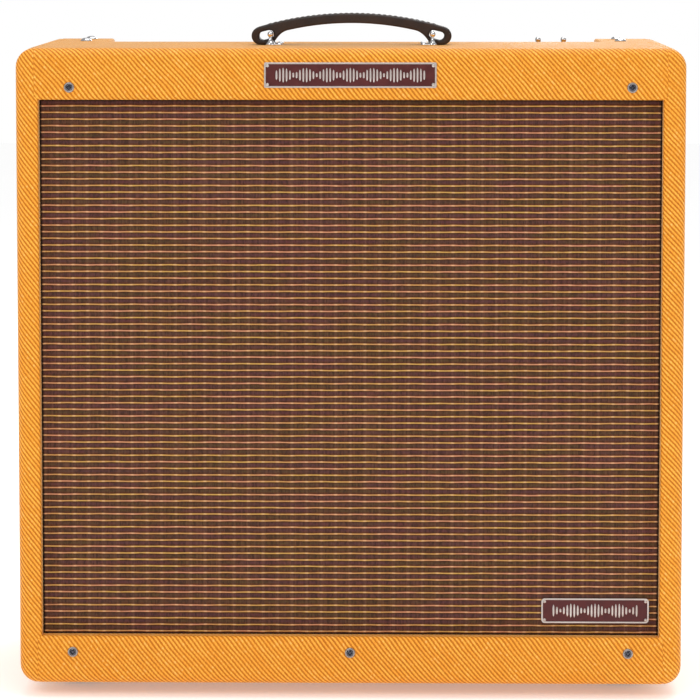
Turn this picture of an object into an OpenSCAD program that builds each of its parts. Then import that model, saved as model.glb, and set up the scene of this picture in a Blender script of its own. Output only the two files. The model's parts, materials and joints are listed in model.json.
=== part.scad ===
// Guitar combo amplifier: an open-backed plywood and pine cabinet covered in tweed, four
// loudspeakers on a sloping baffle, a chassis hung under the top with its controls in a
// recess at the rear, and a strap handle.
// Millimetres. X is to the right seen from the front, Y to the back, Z up.
// The origin is on the floor, under the centre of the cabinet.

/* [Cabinet] */
// Width over the covering
cab_w = 597; // [560:1:640]
// Height of the cabinet without its feet
cab_h = 571.5; // [560:0.5:590]
// Depth at the bottom
cab_d = 267; // [262:1:290]
// Backward lean of the front, in degrees
lean = 2.7; // [2.2:0.1:3]
// Thickness of the boards
board_t = 18.5; // [16:0.5:19]
// Thickness of the tweed covering
skin_t = 1; // [0.8:0.1:1.2]
// Radius of the four corners seen from the front
corner_r = 17; // [14:1:20]
// Radius of the front edges
edge_r = 10; // [6:1:11]

/* [Front] */
// Height of the upper front rail, top of the cabinet included
upper_rail_h = 46; // [44:1:50]
// Height of the lower front rail, bottom of the cabinet included
lower_rail_h = 44; // [43:1:48]
// Thickness of the front rails, which is the grille's recess
rail_t = 12; // [10:1:13]
// Thickness of the baffle board
baffle_t = 12; // [10:1:13]
// Distance from the side to the seam in the tweed
seam_x = 17.2; // [16:0.2:18]
// Half the distance between the outer front screws
screw_x = 250; // [240:1:255]

/* [Loudspeakers] */
// Half the distance between two loudspeakers, across
speaker_x = 135; // [132:1:135]
// Half the distance between two loudspeakers, upwards
speaker_z = 132; // [130:1:133]
// Diameter of the loudspeaker's flange
flange_d = 256; // [252:1:257]
// Depth behind the baffle
speaker_depth = 100; // [96:1:104]

/* [Controls] */
// Half the width of the recess in the top
recess_x = 232; // [228:1:236]
// Depth of the recess from the rear
recess_d = 84; // [82:1:86]
// Spacing of the control knobs
knob_pitch = 38; // [38:0.5:40]
// Diameter of the knob's skirt
knob_d = 21; // [20:0.5:22]

/* [Handle] */
// Length of the strap from end to end
handle_l = 182; // [178:1:186]
// Width of the strap
handle_w = 26; // [24:1:28]
// Distance of the strap's middle line behind the middle of the cabinet
handle_y = -25; // [-32:1:-18]

/* [Hidden] */
$fn = 64;
e = 0.01;
foot_h = 12.5;
wall = board_t + skin_t;
z_top = foot_h + cab_h;
z_roof = z_top - wall;
z_deck = foot_h + wall;
y_back = cab_d / 2;
in_x = cab_w / 2 - wall;
face_h = round(100 * cab_h / cos(lean)) / 100;
open_x = cab_w / 2 - wall - skin_t;

// How far the leaning rounded band reaches past the level outline that trims it, and how much
// tighter its corners are, so that no two of their faces meet edge on
band_over = 0.6;
band_tighter = 1;

// Depths behind the front plane, in the leaning frame of the front
rail_back = skin_t + rail_t;
cloth_t = 1;
baffle_front = rail_back + cloth_t;
baffle_back = baffle_front + baffle_t;

// Front screws: [across, up the front]
top_screw_z = face_h - 35;
low_screw_z = 29.5;
front_screw_at = [
    [-screw_x, top_screw_z], [screw_x, top_screw_z],
    [-screw_x, low_screw_z], [0, low_screw_z], [screw_x, low_screw_z]
];

// Plates on the front: centre up the front, width, height
plate_t = 1.5;
name_w = 153;
name_h = 22.5;
name_z = face_h - 24;
badge_w = 97;
badge_h = 22.6;
badge_x = 221;
badge_z = 66.5;
badge_back = rail_back - 0.8;
rivet_inset = 3;

// Loudspeakers, in the leaning frame
speaker_mid_z = (face_h - upper_rail_h + lower_rail_h) / 2;
hole_r = 115;
bolt_pcd_r = 121;
basket_r = 112;
flange_t = 2.5;
spider_z = -62;
coil_r = 19;
magnet_r = 50;
magnet_z = -74;

// Control panel and chassis
panel_t = 1;
tray_t = 1.5;
z_panel = z_roof;
tray_top = z_panel - panel_t;
tray_x = 262;
tray_y0 = 48;
tray_y1 = 119.5;
tray_low = 494;
lip_w = 10;
control_y = (tray_y0 + tray_y1) / 2 + 0.75;
chassis_bolt_x = 251.6;
chassis_bolt_y = [60, 110];
knob_xs = [for (i = [0 : 5]) 112 - i * knob_pitch];
jack_xs = [-118, -146, -174, -202];
toggle_xs = [175, 199];
jewel_x = 147;
bushing_r = 4.6;
jack_bushing_r = 5.5;
toggle_bushing_r = 5.9;
lamp_tube_r = 8.2;
plug_bore_r = 3.3;
spindle_r = 3;
toggle_lean = 12;
toggle_pivot_z = z_panel + 0.5;
toggle_l = 23;

// Rear connectors on the chassis's rear wall: [across], all at one height
rear_z = 528;
inlet_x = 132;
line_x = -20;
foot_jack_x = -130;
selector_x = 74;
level_x = 26;
slide_x = -66;

// Back panels
panel_gap = 2;
back_t = 10;
back_y = y_back - 3;
back_x = in_x - panel_gap;
upper_back_z = [430, z_panel];
lower_back_z = [z_deck + panel_gap, 232];
window_x = 168;
window_z = [504, 552];
cleat_w = 13.5;
cleat_t = 19;
cleat_y = back_y - back_t;
back_screw_x = in_x - cleat_w / 2;
back_screw_zs = [50, 141, 218, 446, 490, 548];

// Circuit boards
pcb_t = 1.6;
pcb_z = tray_low + tray_t + 5;

// Speaker leads
lead_r = 1.5;
lead_sides = 8;

board_posts = [for (x = [-248, -60, 140, 168, 248]) for (y = [tray_y0 + 7, tray_y1 - 7]) [x, y]];

// Corner joints: number and width of the fingers along the depth
finger_n = 10;
finger_w = cab_d / finger_n;

// Feet: half spacing across, then the two places along Y
foot_x = 250;
foot_y = [-62, 96];
foot_r = 19;

// Handle, up from the top of the cabinet
bar_x = 73.6;
bar_z = 10;
bar_r = 1.9;
leg_y = 18;
saddle_screw_x = 65.5;

speaker_at = [for (z = [-1, 1]) for (x = [-1, 1]) [x * speaker_x, speaker_mid_z + z * speaker_z]];
rivet_spots = concat(
    [for (x = [-1, 1]) for (z = [-1, 1])
        [x * (name_w / 2 - rivet_inset), 0, name_z + z * (name_h / 2 - rivet_inset)]],
    [for (x = [-1, 1]) for (z = [-1, 1])
        [badge_x + x * (badge_w / 2 - rivet_inset), badge_back, badge_z + z * (badge_h / 2 - rivet_inset)]]
);

// ---------------------------------------------------------------- frames and helpers

// The leaning frame of the front: y is the depth behind the front plane, z runs up the front
module on_front() {
    translate([0, -cab_d / 2, foot_h])
        rotate([-lean, 0, 0])
            children();
}

// A cylinder along Y whose axis starts at pos
module y_rod(pos, r, l) {
    translate(pos)
        rotate([-90, 0, 0])
            cylinder(h = l, r = r);
}

// A 2D shape drawn as (x, z) and extruded from y0 to y1
module y_extrude(y0, y1) {
    translate([0, y1, 0])
        rotate([90, 0, 0])
            linear_extrude(y1 - y0)
                children();
}

// A block given by its two corners
module block(low, high) {
    translate(low)
        cube(high - low);
}

// A hexagonal nut on a Z axis with a round hole
module hex_nut(across, h, r) {
    difference() {
        cylinder(h = h, r = across / 2 / cos(30), $fn = 6);
        translate([0, 0, -1])
            cylinder(h = h + 2, r = r);
    }
}

// ---------------------------------------------------------------- cabinet outline

// The outline seen from the front, inset by t
module cab_profile(t) {
    r = corner_r - t;
    x = cab_w / 2 - corner_r;
    translate([-x, foot_h + t])
        square([2 * x, cab_h - 2 * t]);
    translate([-cab_w / 2 + t, foot_h + corner_r])
        square([cab_w - 2 * t, cab_h - 2 * corner_r]);
    for (sx = [-1, 1])
        for (z = [foot_h + corner_r, z_top - corner_r])
            translate([sx * x, z])
                circle(r);
}

// Section through the rounded front band: across l overall, from depth t to edge_r
module edge_section(l, t) {
    translate([-l / 2 + edge_r, t])
        square([l - 2 * edge_r, edge_r - t]);
    for (s = [-1, 1])
        translate([s * (l / 2 - edge_r), edge_r])
            intersection() {
                circle(edge_r - t);
                translate([-edge_r, -edge_r])
                    square([2 * edge_r, edge_r]);
            }
}

// The rounded front band, in the leaning frame
module front_band(t) {
    r = corner_r - band_tighter;
    x = cab_w / 2 - r;
    translate([0, 0, r])
        linear_extrude(face_h - 2 * r)
            edge_section(cab_w + 2 * band_over, t);
    translate([-x, 0, face_h / 2])
        rotate([90, 0, 90])
            linear_extrude(2 * x)
                mirror([1, -1])
                    edge_section(face_h + 2 * band_over, t);
    for (sx = [-1, 1])
        for (z = [r, face_h - r])
            translate([sx * x, 0, z])
                rotate([-90, 0, 0])
                    rotate_extrude()
                        intersection() {
                            edge_section(2 * (r + band_over), t);
                            square([r + band_over, edge_r]);
                        }
}

// The cabinet's whole outer form, inset by t on every face
module shell(t) {
    intersection() {
        y_extrude(-cab_d, y_back - t)
            cab_profile(t);
        on_front() {
            front_band(t);
            translate([-cab_w, edge_r - e, -cab_h / 2])
                cube([2 * cab_w, 2 * cab_d, 2 * cab_h]);
        }
    }
}

// The recess in the top that shows the control panel
module recess() {
    block([-recess_x, y_back - recess_d, z_roof - e], [recess_x, y_back + 1, z_top + 1]);
}

// The window of the grille, in the leaning frame
module grille_window(y0, y1) {
    block([-open_x, y0, lower_rail_h], [open_x, y1, face_h - upper_rail_h]);
}

module front_screw_holes(r) {
    on_front()
        for (p = front_screw_at)
            y_rod([p[0], -1, p[1]], r, 40);
}

module rivet_holes() {
    on_front()
        for (p = rivet_spots)
            y_rod(p - [0, 4, 0], 1, 10);
}

module chassis_bolt_holes(z0, z1) {
    for (sx = [-1, 1])
        for (y = chassis_bolt_y)
            translate([sx * chassis_bolt_x, y, z0])
                cylinder(h = z1 - z0, r = 2.6);
}

module saddle_screw_holes() {
    for (sx = [-1, 1])
        for (sy = [-1, 1])
            translate([sx * saddle_screw_x, handle_y + sy * leg_y, z_roof - 1])
                cylinder(h = wall + 2, r = 1.9);
}

module foot_screw_holes() {
    for (sx = [-1, 1])
        for (y = foot_y)
            translate([sx * foot_x, y, foot_h - 1])
                cylinder(h = wall + 2, r = 2.2);
}

// ---------------------------------------------------------------- boards

// Slices of the corner joints that belong to the sides (0) or to the top and bottom (1)
module finger_slices(which) {
    for (i = [which : 2 : finger_n - 1])
        block(
            [-cab_w, -cab_d / 2 + i * finger_w, 0],
            [cab_w, -cab_d / 2 + (i + 1) * finger_w, z_top + 1]
        );
}

module side_board(side) {
    x = side > 0 ? in_x : -cab_w / 2;
    color("burlywood")
        intersection() {
            shell(skin_t);
            union() {
                block([x, -cab_d, z_deck], [x + wall, cab_d, z_roof]);
                intersection() {
                    block([x, -cab_d, 0], [x + wall, cab_d, z_top]);
                    finger_slices(0);
                }
            }
        }
}

module side_board_left() { side_board(-1); }
module side_board_right() { side_board(1); }

// A top or bottom board between z0 and z1
module level_board(z0, z1) {
    intersection() {
        shell(skin_t);
        union() {
            block([-in_x, -cab_d, z0], [in_x, cab_d, z1]);
            intersection() {
                block([-cab_w, -cab_d, z0], [cab_w, cab_d, z1]);
                finger_slices(1);
            }
        }
    }
}

module top_board() {
    color("burlywood")
        difference() {
            level_board(z_roof, z_top);
            recess();
            chassis_bolt_holes(z_roof - 1, z_top + 1);
            saddle_screw_holes();
            rivet_holes();
        }
}

module bottom_board() {
    color("burlywood")
        difference() {
            level_board(foot_h, z_deck);
            foot_screw_holes();
        }
}

// A rail in the front, between two heights of the leaning frame
module front_rail(z0, z1) {
    color("tan")
        difference() {
            intersection() {
                on_front()
                    block([-in_x, skin_t, z0], [in_x, rail_back, z1]);
                block([-cab_w, -cab_d, z_deck], [cab_w, cab_d, z_roof]);
            }
            front_screw_holes(2.1);
            rivet_holes();
        }
}

module upper_front_rail() { front_rail(face_h - upper_rail_h + skin_t, face_h); }
module lower_front_rail() { front_rail(0, lower_rail_h - skin_t); }

module baffle_board() {
    color("peru")
        difference() {
            on_front()
                block([-in_x + 1, baffle_front, 22], [in_x - 1, baffle_back, face_h - 21]);
            front_screw_holes(2.1);
            rivet_holes();
            on_front()
                for (p = speaker_at) {
                    y_rod([p[0], 0, p[1]], hole_r, 60);
                    for (a = [45 : 90 : 315]) {
                        x = p[0] + bolt_pcd_r * cos(a);
                        z = p[1] + bolt_pcd_r * sin(a);
                        y_rod([x, 0, z], 2.1, 60);
                        y_rod([x, baffle_front - 1, z], 4.2, 3.2);
                    }
                }
        }
}

// Strips inside the cabinet that the baffle and the back panels are screwed to
module cleats() {
    x0 = in_x - cleat_w;
    color("wheat")
        difference() {
            union() {
                for (side = [-1, 1]) {
                    x = side > 0 ? x0 : -in_x;
                    on_front()
                        block([x, baffle_back, 24], [x + cleat_w, baffle_back + cleat_t, face_h - 24]);
                    block([x, cleat_y - cleat_t, z_deck + 1], [x + cleat_w, cleat_y, lower_back_z[1] - 2]);
                    block([x, cleat_y - cleat_t, upper_back_z[0] + 3], [x + cleat_w, cleat_y, z_roof - 3]);
                }
                block([-x0 + 1, cleat_y - cleat_t, z_deck], [x0 - 1, cleat_y, z_deck + cleat_w]);
            }
            back_screw_holes();
        }
}

// ---------------------------------------------------------------- tweed covering

module tweed_skin() {
    difference() {
        shell(0);
        shell(skin_t);
        on_front()
            grille_window(-1, cab_d);
        block([-in_x, 0, z_deck], [in_x, cab_d, z_roof]);
        recess();
        front_screw_holes(2.1);
        rivet_holes();
        chassis_bolt_holes(z_roof, z_top + 1);
        saddle_screw_holes();
        foot_screw_holes();
    }
}

// The side sheet's share of the front: the seam beside the rails, the window's edge between them
module side_share(side) {
    x = cab_w / 2 - seam_x;
    scale_x = side > 0 ? 0 : 1;
    mirror([scale_x, 0, 0]) {
        block([x, -cab_d, 0], [cab_w, cab_d, z_top + 1]);
        on_front()
            block([open_x, -1, lower_rail_h], [x + e, skin_t + 1, face_h - upper_rail_h]);
    }
}

module tweed_side(side) {
    x = side > 0 ? open_x : -in_x;
    color("goldenrod") {
        intersection() {
            tweed_skin();
            side_share(side);
        }
        on_front()
            block([x, skin_t, lower_rail_h], [x + skin_t, rail_back, face_h - upper_rail_h]);
    }
}

module tweed_left() { tweed_side(-1); }
module tweed_right() { tweed_side(1); }

// The sheet over the top or under the bottom, folded over the rail into the window
module tweed_level(z_from, z_to, fold_z) {
    color("goldenrod") {
        difference() {
            intersection() {
                tweed_skin();
                block([-cab_w, -cab_d, z_from], [cab_w, cab_d, z_to]);
            }
            side_share(-1);
            side_share(1);
        }
        difference() {
            on_front()
                block([-open_x, skin_t, fold_z], [open_x, rail_back, fold_z + skin_t]);
            front_screw_holes(2.1);
        }
    }
}

module tweed_top() { tweed_level(foot_h + cab_h / 2, z_top + 1, face_h - upper_rail_h); }
module tweed_bottom() { tweed_level(0, foot_h + cab_h / 2, lower_rail_h - skin_t); }

// ---------------------------------------------------------------- front

module grille_cloth() {
    color("saddlebrown")
        difference() {
            on_front()
                block([-in_x + 1, rail_back, 22], [in_x - 1, baffle_front, face_h - 21]);
            front_screw_holes(2.1);
            rivet_holes();
        }
}

// A plate with a raised rim and a plain motif of upright bars, its back at y = 0
module plate(w, h, bars) {
    rim = 1.6;
    difference() {
        block([-w / 2, -plate_t, -h / 2], [w / 2, 0, h / 2]);
        block([-w / 2 + rim, -plate_t - 1, -h / 2 + rim], [w / 2 - rim, -plate_t + 0.5, h / 2 - rim]);
    }
    for (i = [-bars : bars]) {
        bar_h = (h - 4 * rim) * (0.35 + 0.6 * abs(cos(i * 50)));
        block(
            [i * 5 - 0.8, -plate_t, -bar_h / 2],
            [i * 5 + 0.8, -plate_t + 0.6, bar_h / 2]
        );
    }
}

module nameplate() {
    color("firebrick")
        difference() {
            on_front()
                translate([0, 0, name_z])
                    plate(name_w, name_h, 10);
            rivet_holes();
        }
}

module grille_badge() {
    color("firebrick")
        difference() {
            on_front()
                translate([badge_x, badge_back, badge_z])
                    plate(badge_w, badge_h, 6);
            rivet_holes();
        }
}

module badge_rivets() {
    color("silver")
        on_front()
            for (p = rivet_spots) {
                y_rod(p - [0, plate_t, 0], 0.9, plate_t + 5);
                y_rod(p - [0, plate_t + 0.6, 0], 1.4, 0.6);
            }
}

module front_screws() {
    color("silver")
        on_front()
            for (p = front_screw_at)
                difference() {
                    union() {
                        y_rod([p[0], -1.2, p[1]], 2, 24);
                        y_rod([p[0], -2.6, p[1]], 3.2, 1.4);
                    }
                    block([p[0] - 0.5, -3, p[1] - 2], [p[0] + 0.5, -1.8, p[1] + 2]);
                    block([p[0] - 2, -3, p[1] - 0.5], [p[0] + 2, -1.8, p[1] + 0.5]);
                }
}

module front_screw_washers() {
    color("gainsboro")
        on_front()
            for (p = front_screw_at)
                translate([p[0], 0, p[1]])
                    rotate([90, 0, 0])
                        rotate_extrude()
                            polygon([[2.1, 0], [4.75, 0], [4.2, 1], [3.3, 1.2], [2.1, 1.2]]);
}

// ---------------------------------------------------------------- back

module back_screw_holes() {
    for (sx = [-1, 1])
        for (z = back_screw_zs)
            y_rod([sx * back_screw_x, cleat_y - 15, z], 1.8, back_t + 17);
}

module back_panel(z) {
    color("darkgoldenrod")
        difference() {
            block([-back_x, cleat_y, z[0]], [back_x, back_y, z[1]]);
            back_screw_holes();
            block([-window_x, cleat_y - 1, window_z[0]], [window_x, back_y + 1, window_z[1]]);
        }
}

module upper_back_panel() { back_panel(upper_back_z); }
module lower_back_panel() { back_panel(lower_back_z); }

module back_panel_screws() {
    color("silver")
        for (sx = [-1, 1])
            for (z = back_screw_zs) {
                y_rod([sx * back_screw_x, cleat_y - 14, z], 1.75, back_t + 14);
                y_rod([sx * back_screw_x, back_y, z], 4.2, 1.6);
            }
}

module feet() {
    color("dimgray")
        for (sx = [-1, 1])
            for (y = foot_y)
                translate([sx * foot_x, y, 0])
                    difference() {
                        cylinder(h = foot_h, r1 = foot_r - 2, r2 = foot_r);
                        translate([0, 0, -1])
                            cylinder(h = 7, r = 5.5);
                        cylinder(h = foot_h + 1, r = 2.2);
                    }
}

module foot_screws() {
    color("silver")
        for (sx = [-1, 1])
            for (y = foot_y)
                translate([sx * foot_x, y, 0]) {
                    translate([0, 0, 4])
                        cylinder(h = 2, r = 4.5);
                    translate([0, 0, 5])
                        cylinder(h = 22, r = 2.1);
                }
}

// ---------------------------------------------------------------- handle

// The strap seen from the front: an arched band with a folded loop at each end
module strap_outline() {
    crown = 28.5;
    belly = 19.3;
    crown_r = 275;
    belly_r = 215;
    end_r = 8;
    end_x = handle_l / 2 - end_r;
    heel_x = end_x - 12;
    difference() {
        union() {
            difference() {
                intersection() {
                    translate([0, crown - crown_r])
                        circle(crown_r, $fn = 720);
                    translate([-end_x, 0])
                        square([2 * end_x, crown + 1]);
                }
                intersection() {
                    translate([0, belly - belly_r])
                        circle(belly_r, $fn = 720);
                    translate([-heel_x + 14, -1])
                        square([2 * heel_x - 28, crown]);
                }
                polygon([
                    [-heel_x, -1], [-heel_x + 2.6, 1.8], [-heel_x + 9.3, 9.3], [-heel_x + 14, 11.7],
                    [heel_x - 14, 11.7], [heel_x - 9.3, 9.3], [heel_x - 2.6, 1.8], [heel_x, -1]
                ]);
            }
            for (s = [-1, 1])
                translate([s * end_x, end_r])
                    circle(end_r);
        }
        for (s = [-1, 1])
            strap_eye(s);
    }
}

// The eye that the saddle's bar passes through
module strap_eye(s) {
    narrow_x = handle_l / 2 - 16.5;
    wide_x = handle_l / 2 - 10.5;
    translate([s * wide_x, 7.8])
        circle(4);
    translate([s * narrow_x, 9.3])
        circle(3.9);
    polygon([
        [s * wide_x, 11.8], [s * narrow_x, 13.2], [s * narrow_x, 5.4], [s * wide_x, 3.8]
    ]);
}

module handle_strap() {
    color("#3a2a22")
        translate([0, 0, z_top + 0.3])
            y_extrude(handle_y - handle_w / 2, handle_y + handle_w / 2)
                strap_outline();
}

// One saddle: two turned legs on tabs, joined by a bar that passes through the strap's eye
module handle_saddles() {
    color("gainsboro")
        for (sx = [-1, 1])
            translate([sx * bar_x, handle_y, z_top])
                difference() {
                    union() {
                        for (sy = [-1, 1])
                            translate([0, sy * leg_y, 0]) {
                                rotate_extrude()
                                    polygon([
                                        [0, 0], [4.2, 0], [4.2, 2.2], [3, 3.6], [2, 4.6],
                                        [1.4, 7.2], [1.4, bar_z], [0, bar_z]
                                    ]);
                                translate([0, 0, bar_z])
                                    sphere(2.3);
                                block([min(0, -sx * 8), -4, 0], [max(0, -sx * 8), 4, 1.2]);
                                translate([-sx * 8, 0, 0])
                                    cylinder(h = 1.2, r = 4);
                            }
                        y_rod([0, -leg_y, bar_z], bar_r, 2 * leg_y);
                    }
                    for (sy = [-1, 1])
                        translate([sx * (saddle_screw_x - bar_x), sy * leg_y, -1])
                            cylinder(h = 4, r = 1.9);
                }
}

module handle_screws() {
    color("silver")
        for (sx = [-1, 1])
            for (sy = [-1, 1])
                translate([sx * saddle_screw_x, handle_y + sy * leg_y, z_top]) {
                    translate([0, 0, -15])
                        cylinder(h = 17, r = 1.8);
                    intersection() {
                        translate([0, 0, 1.2])
                            cylinder(h = 2.2, r = 3.4);
                        translate([0, 0, -0.6])
                            sphere(4);
                    }
                }
}

// ---------------------------------------------------------------- chassis

// Round holes in the control panel and the tray for everything that shows on top
module control_holes() {
    z0 = tray_top - 5;
    h = 20;
    for (x = knob_xs)
        translate([x, control_y, z0])
            cylinder(h = h, r = bushing_r + 0.1);
    for (x = jack_xs)
        translate([x, control_y, z0])
            cylinder(h = h, r = jack_bushing_r + 0.1);
    for (x = toggle_xs)
        translate([x, control_y, z0])
            cylinder(h = h, r = toggle_bushing_r + 0.1);
    translate([jewel_x, control_y, z0])
        cylinder(h = h, r = lamp_tube_r + 0.1);
}

// Holes in the tray's rear wall
module rear_holes() {
    y0 = tray_y1 - 5;
    block([inlet_x - 14.1, y0, rear_z - 10.1], [inlet_x + 14.1, y0 + 10, rear_z + 10.1]);
    y_rod([line_x, y0, rear_z], 10.6, 10);
    y_rod([foot_jack_x, y0, rear_z], jack_bushing_r + 0.1, 10);
    y_rod([selector_x, y0, rear_z], bushing_r + 0.1, 10);
    y_rod([level_x, y0, rear_z], bushing_r + 0.1, 10);
    block([slide_x - 5.5, y0, rear_z - 2.2], [slide_x + 5.5, y0 + 10, rear_z + 2.2]);
}

module chassis_tray() {
    inner_y0 = tray_y0 + tray_t;
    inner_y1 = tray_y1 - tray_t;
    color("lightgray")
        difference() {
            union() {
                difference() {
                    block([-tray_x, tray_y0, tray_low], [tray_x, tray_y1, tray_top]);
                    block(
                        [-tray_x + tray_t, inner_y0, tray_low - 1],
                        [tray_x - tray_t, inner_y1, tray_top - tray_t]
                    );
                }
                block([-tray_x, tray_y0, tray_low], [tray_x, inner_y0 + lip_w, tray_low + tray_t]);
                block([-tray_x, inner_y1 - lip_w, tray_low], [tray_x, tray_y1, tray_low + tray_t]);
                for (p = board_posts)
                    translate([p[0], p[1], tray_low + tray_t])
                        cylinder(h = pcb_z - tray_low - tray_t, r = 3);
            }
            control_holes();
            rear_holes();
            chassis_bolt_holes(tray_top - 5, tray_top + 1);
        }
}

module control_panel() {
    color("whitesmoke")
        difference() {
            block([-tray_x, tray_y0, tray_top], [tray_x, tray_y1, z_panel]);
            control_holes();
            chassis_bolt_holes(tray_top - 1, z_panel + 1);
        }
}

// Domed bolts through the top, each with its nut under the tray
module chassis_bolts() {
    color("silver")
        for (sx = [-1, 1])
            for (y = chassis_bolt_y)
                translate([sx * chassis_bolt_x, y, 0]) {
                    translate([0, 0, tray_top - 10])
                        cylinder(h = z_top - tray_top + 10, r = 2.5);
                    intersection() {
                        translate([0, 0, z_top])
                            cylinder(h = 3, r = 5);
                        translate([0, 0, z_top - 3.2])
                            sphere(6.2);
                    }
                    translate([0, 0, tray_top - tray_t - 4])
                        hex_nut(8, 4, 2.5);
                }
}

module main_circuit_board() {
    color("seagreen") {
        block([-256, tray_y0 + 3, pcb_z], [148, tray_y1 - 3, pcb_z + pcb_t]);
    }
    color("black") {
        z = pcb_z + pcb_t;
        for (x = [-180 : 44 : 128])
            block([x, 66, z], [x + 14, 80, z + 2]);
        for (x = [-160 : 32 : 128])
            translate([x, 96, z])
                cylinder(h = 9, r = 4);
    }
}

module power_supply_board() {
    z = pcb_z + pcb_t;
    color("seagreen")
        block([156, tray_y0 + 3, pcb_z], [256, tray_y1 - 3, pcb_z + pcb_t]);
    color("gold")
        block([168, 60, z], [200, 92, z + 26]);
    color("black") {
        for (x = [216, 238])
            translate([x, 70, z])
                cylinder(h = 28, r = 9);
        block([214, 88, z], [246, 100, z + 14]);
    }
}

// A finned block for the output stage, standing on the end of the main board
module heat_sink() {
    z = pcb_z + pcb_t;
    fin_n = 7;
    color("silver") {
        block([-254, 60, z], [-222, 106, z + 6]);
        for (i = [0 : fin_n - 1])
            block([-254, 60 + i * 7.4, z + 5], [-222, 61.6 + i * 7.4, z + 32]);
    }
}

// ---------------------------------------------------------------- controls

// A potentiometer behind sheet of a total thickness drop, whose outer face is at z = 0
module pot(body_r, drop) {
    difference() {
        union() {
            translate([0, 0, -drop - 11])
                cylinder(h = 11, r = body_r);
            translate([0, 0, -drop - 1])
                cylinder(h = drop + 5.5, r = bushing_r);
        }
        translate([0, 0, -drop - 9])
            cylinder(h = 20, r = spindle_r + 0.1);
    }
}

// Puts a rear control, drawn with its panel's face at z = 0, on the rear wall
module on_rear(x) {
    translate([x, tray_y1, rear_z])
        rotate([-90, 0, 0])
            children();
}

module potentiometers() {
    color("darkgray") {
        for (x = knob_xs)
            translate([x, control_y, z_panel])
                pot(11, panel_t + tray_t);
        on_rear(level_x)
            pot(8, tray_t);
    }
}

// A jack for a 6.35 mm plug, its panel's outer face at z = 0 and thick thick
module plug_jack(thick) {
    difference() {
        union() {
            block([-9, -11, -thick - 24], [9, 11, -thick]);
            translate([0, 0, -thick - 1])
                cylinder(h = thick + 6.5, r = jack_bushing_r);
        }
        translate([0, 0, -thick - 22])
            cylinder(h = 40, r = plug_bore_r);
    }
}

module input_jacks() {
    color("dimgray")
        for (x = jack_xs)
            translate([x, control_y, z_panel])
                plug_jack(panel_t + tray_t);
}

module footswitch_jack() {
    color("dimgray")
        on_rear(foot_jack_x)
            plug_jack(tray_t);
}

module toggle_body() {
    drop = panel_t + tray_t;
    pivot = toggle_pivot_z - z_panel;
    difference() {
        union() {
            block([-6.5, -11, -drop - 18], [6.5, 11, -drop]);
            translate([0, 0, -drop - 1])
                cylinder(h = drop + 10, r = toggle_bushing_r);
        }
        translate([0, 0, pivot - 4])
            cylinder(h = 7, r = 3.3);
        translate([0, 0, pivot + 3 - e])
            cylinder(h = 5.5 + 2 * e, r1 = 3.3, r2 = 4.4);
        translate([0, 0, pivot + 8.5])
            cylinder(h = 5, r = 4.4);
    }
}

// The fixed halves of the switches: two toggles, the output selector and the filter slide
module switch_bodies() {
    color("slategray") {
        for (x = toggle_xs)
            translate([x, control_y, z_panel])
                toggle_body();
        on_rear(selector_x)
            pot(12, tray_t);
        difference() {
            block([slide_x - 12, tray_y1 - tray_t - 8, rear_z - 5], [slide_x + 12, tray_y1 - tray_t, rear_z + 5]);
            block([slide_x - 5.4, tray_y1 - tray_t - 6, rear_z - 2.2], [slide_x + 5.4, tray_y1, rear_z + 2.2]);
        }
    }
}

module panel_nuts() {
    color("silver") {
        for (x = knob_xs)
            translate([x, control_y, z_panel])
                hex_nut(13, 2.2, bushing_r);
        for (x = jack_xs)
            translate([x, control_y, z_panel])
                hex_nut(15, 2.6, jack_bushing_r);
        for (x = toggle_xs)
            translate([x, control_y, z_panel])
                hex_nut(14, 2.4, toggle_bushing_r);
        on_rear(foot_jack_x)
            hex_nut(15, 2.6, jack_bushing_r);
        for (x = [selector_x, level_x])
            on_rear(x)
                hex_nut(10, 1.6, bushing_r);
    }
}

module pilot_lamp_holder() {
    color("silver")
        translate([jewel_x, control_y, z_panel])
            difference() {
                union() {
                    translate([0, 0, -26])
                        cylinder(h = 28, r = lamp_tube_r);
                    cylinder(h = 4, r1 = 10.5, r2 = 9.6);
                }
                translate([0, 0, -22])
                    cylinder(h = 40, r = 7.3);
            }
}

module pilot_jewel() {
    color("red")
        translate([jewel_x, control_y, z_panel]) {
            translate([0, 0, -4])
                cylinder(h = 8.4, r = 7.2);
            translate([0, 0, 4.2])
                cylinder(h = 3.8, r = 8.4, $fn = 12);
            translate([0, 0, 8])
                cylinder(h = 4.5, r1 = 8.4, r2 = 4.6, $fn = 12);
        }
}

// A bat-shaped toggle lever, leaning towards the front at rest
module toggle_lever(x) {
    color("gainsboro")
        translate([x, control_y, toggle_pivot_z])
            rotate([toggle_lean, 0, 0]) {
                sphere(3);
                rotate_extrude()
                    polygon([[0, 0], [1.7, 0], [1.7, 6], [2.7, toggle_l - 5], [2.7, toggle_l - 3], [0, toggle_l - 3]]);
                translate([0, 0, toggle_l - 3])
                    sphere(2.7);
            }
}

module power_toggle_lever() { toggle_lever(toggle_xs[1]); }
module standby_toggle_lever() { toggle_lever(toggle_xs[0]); }

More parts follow.
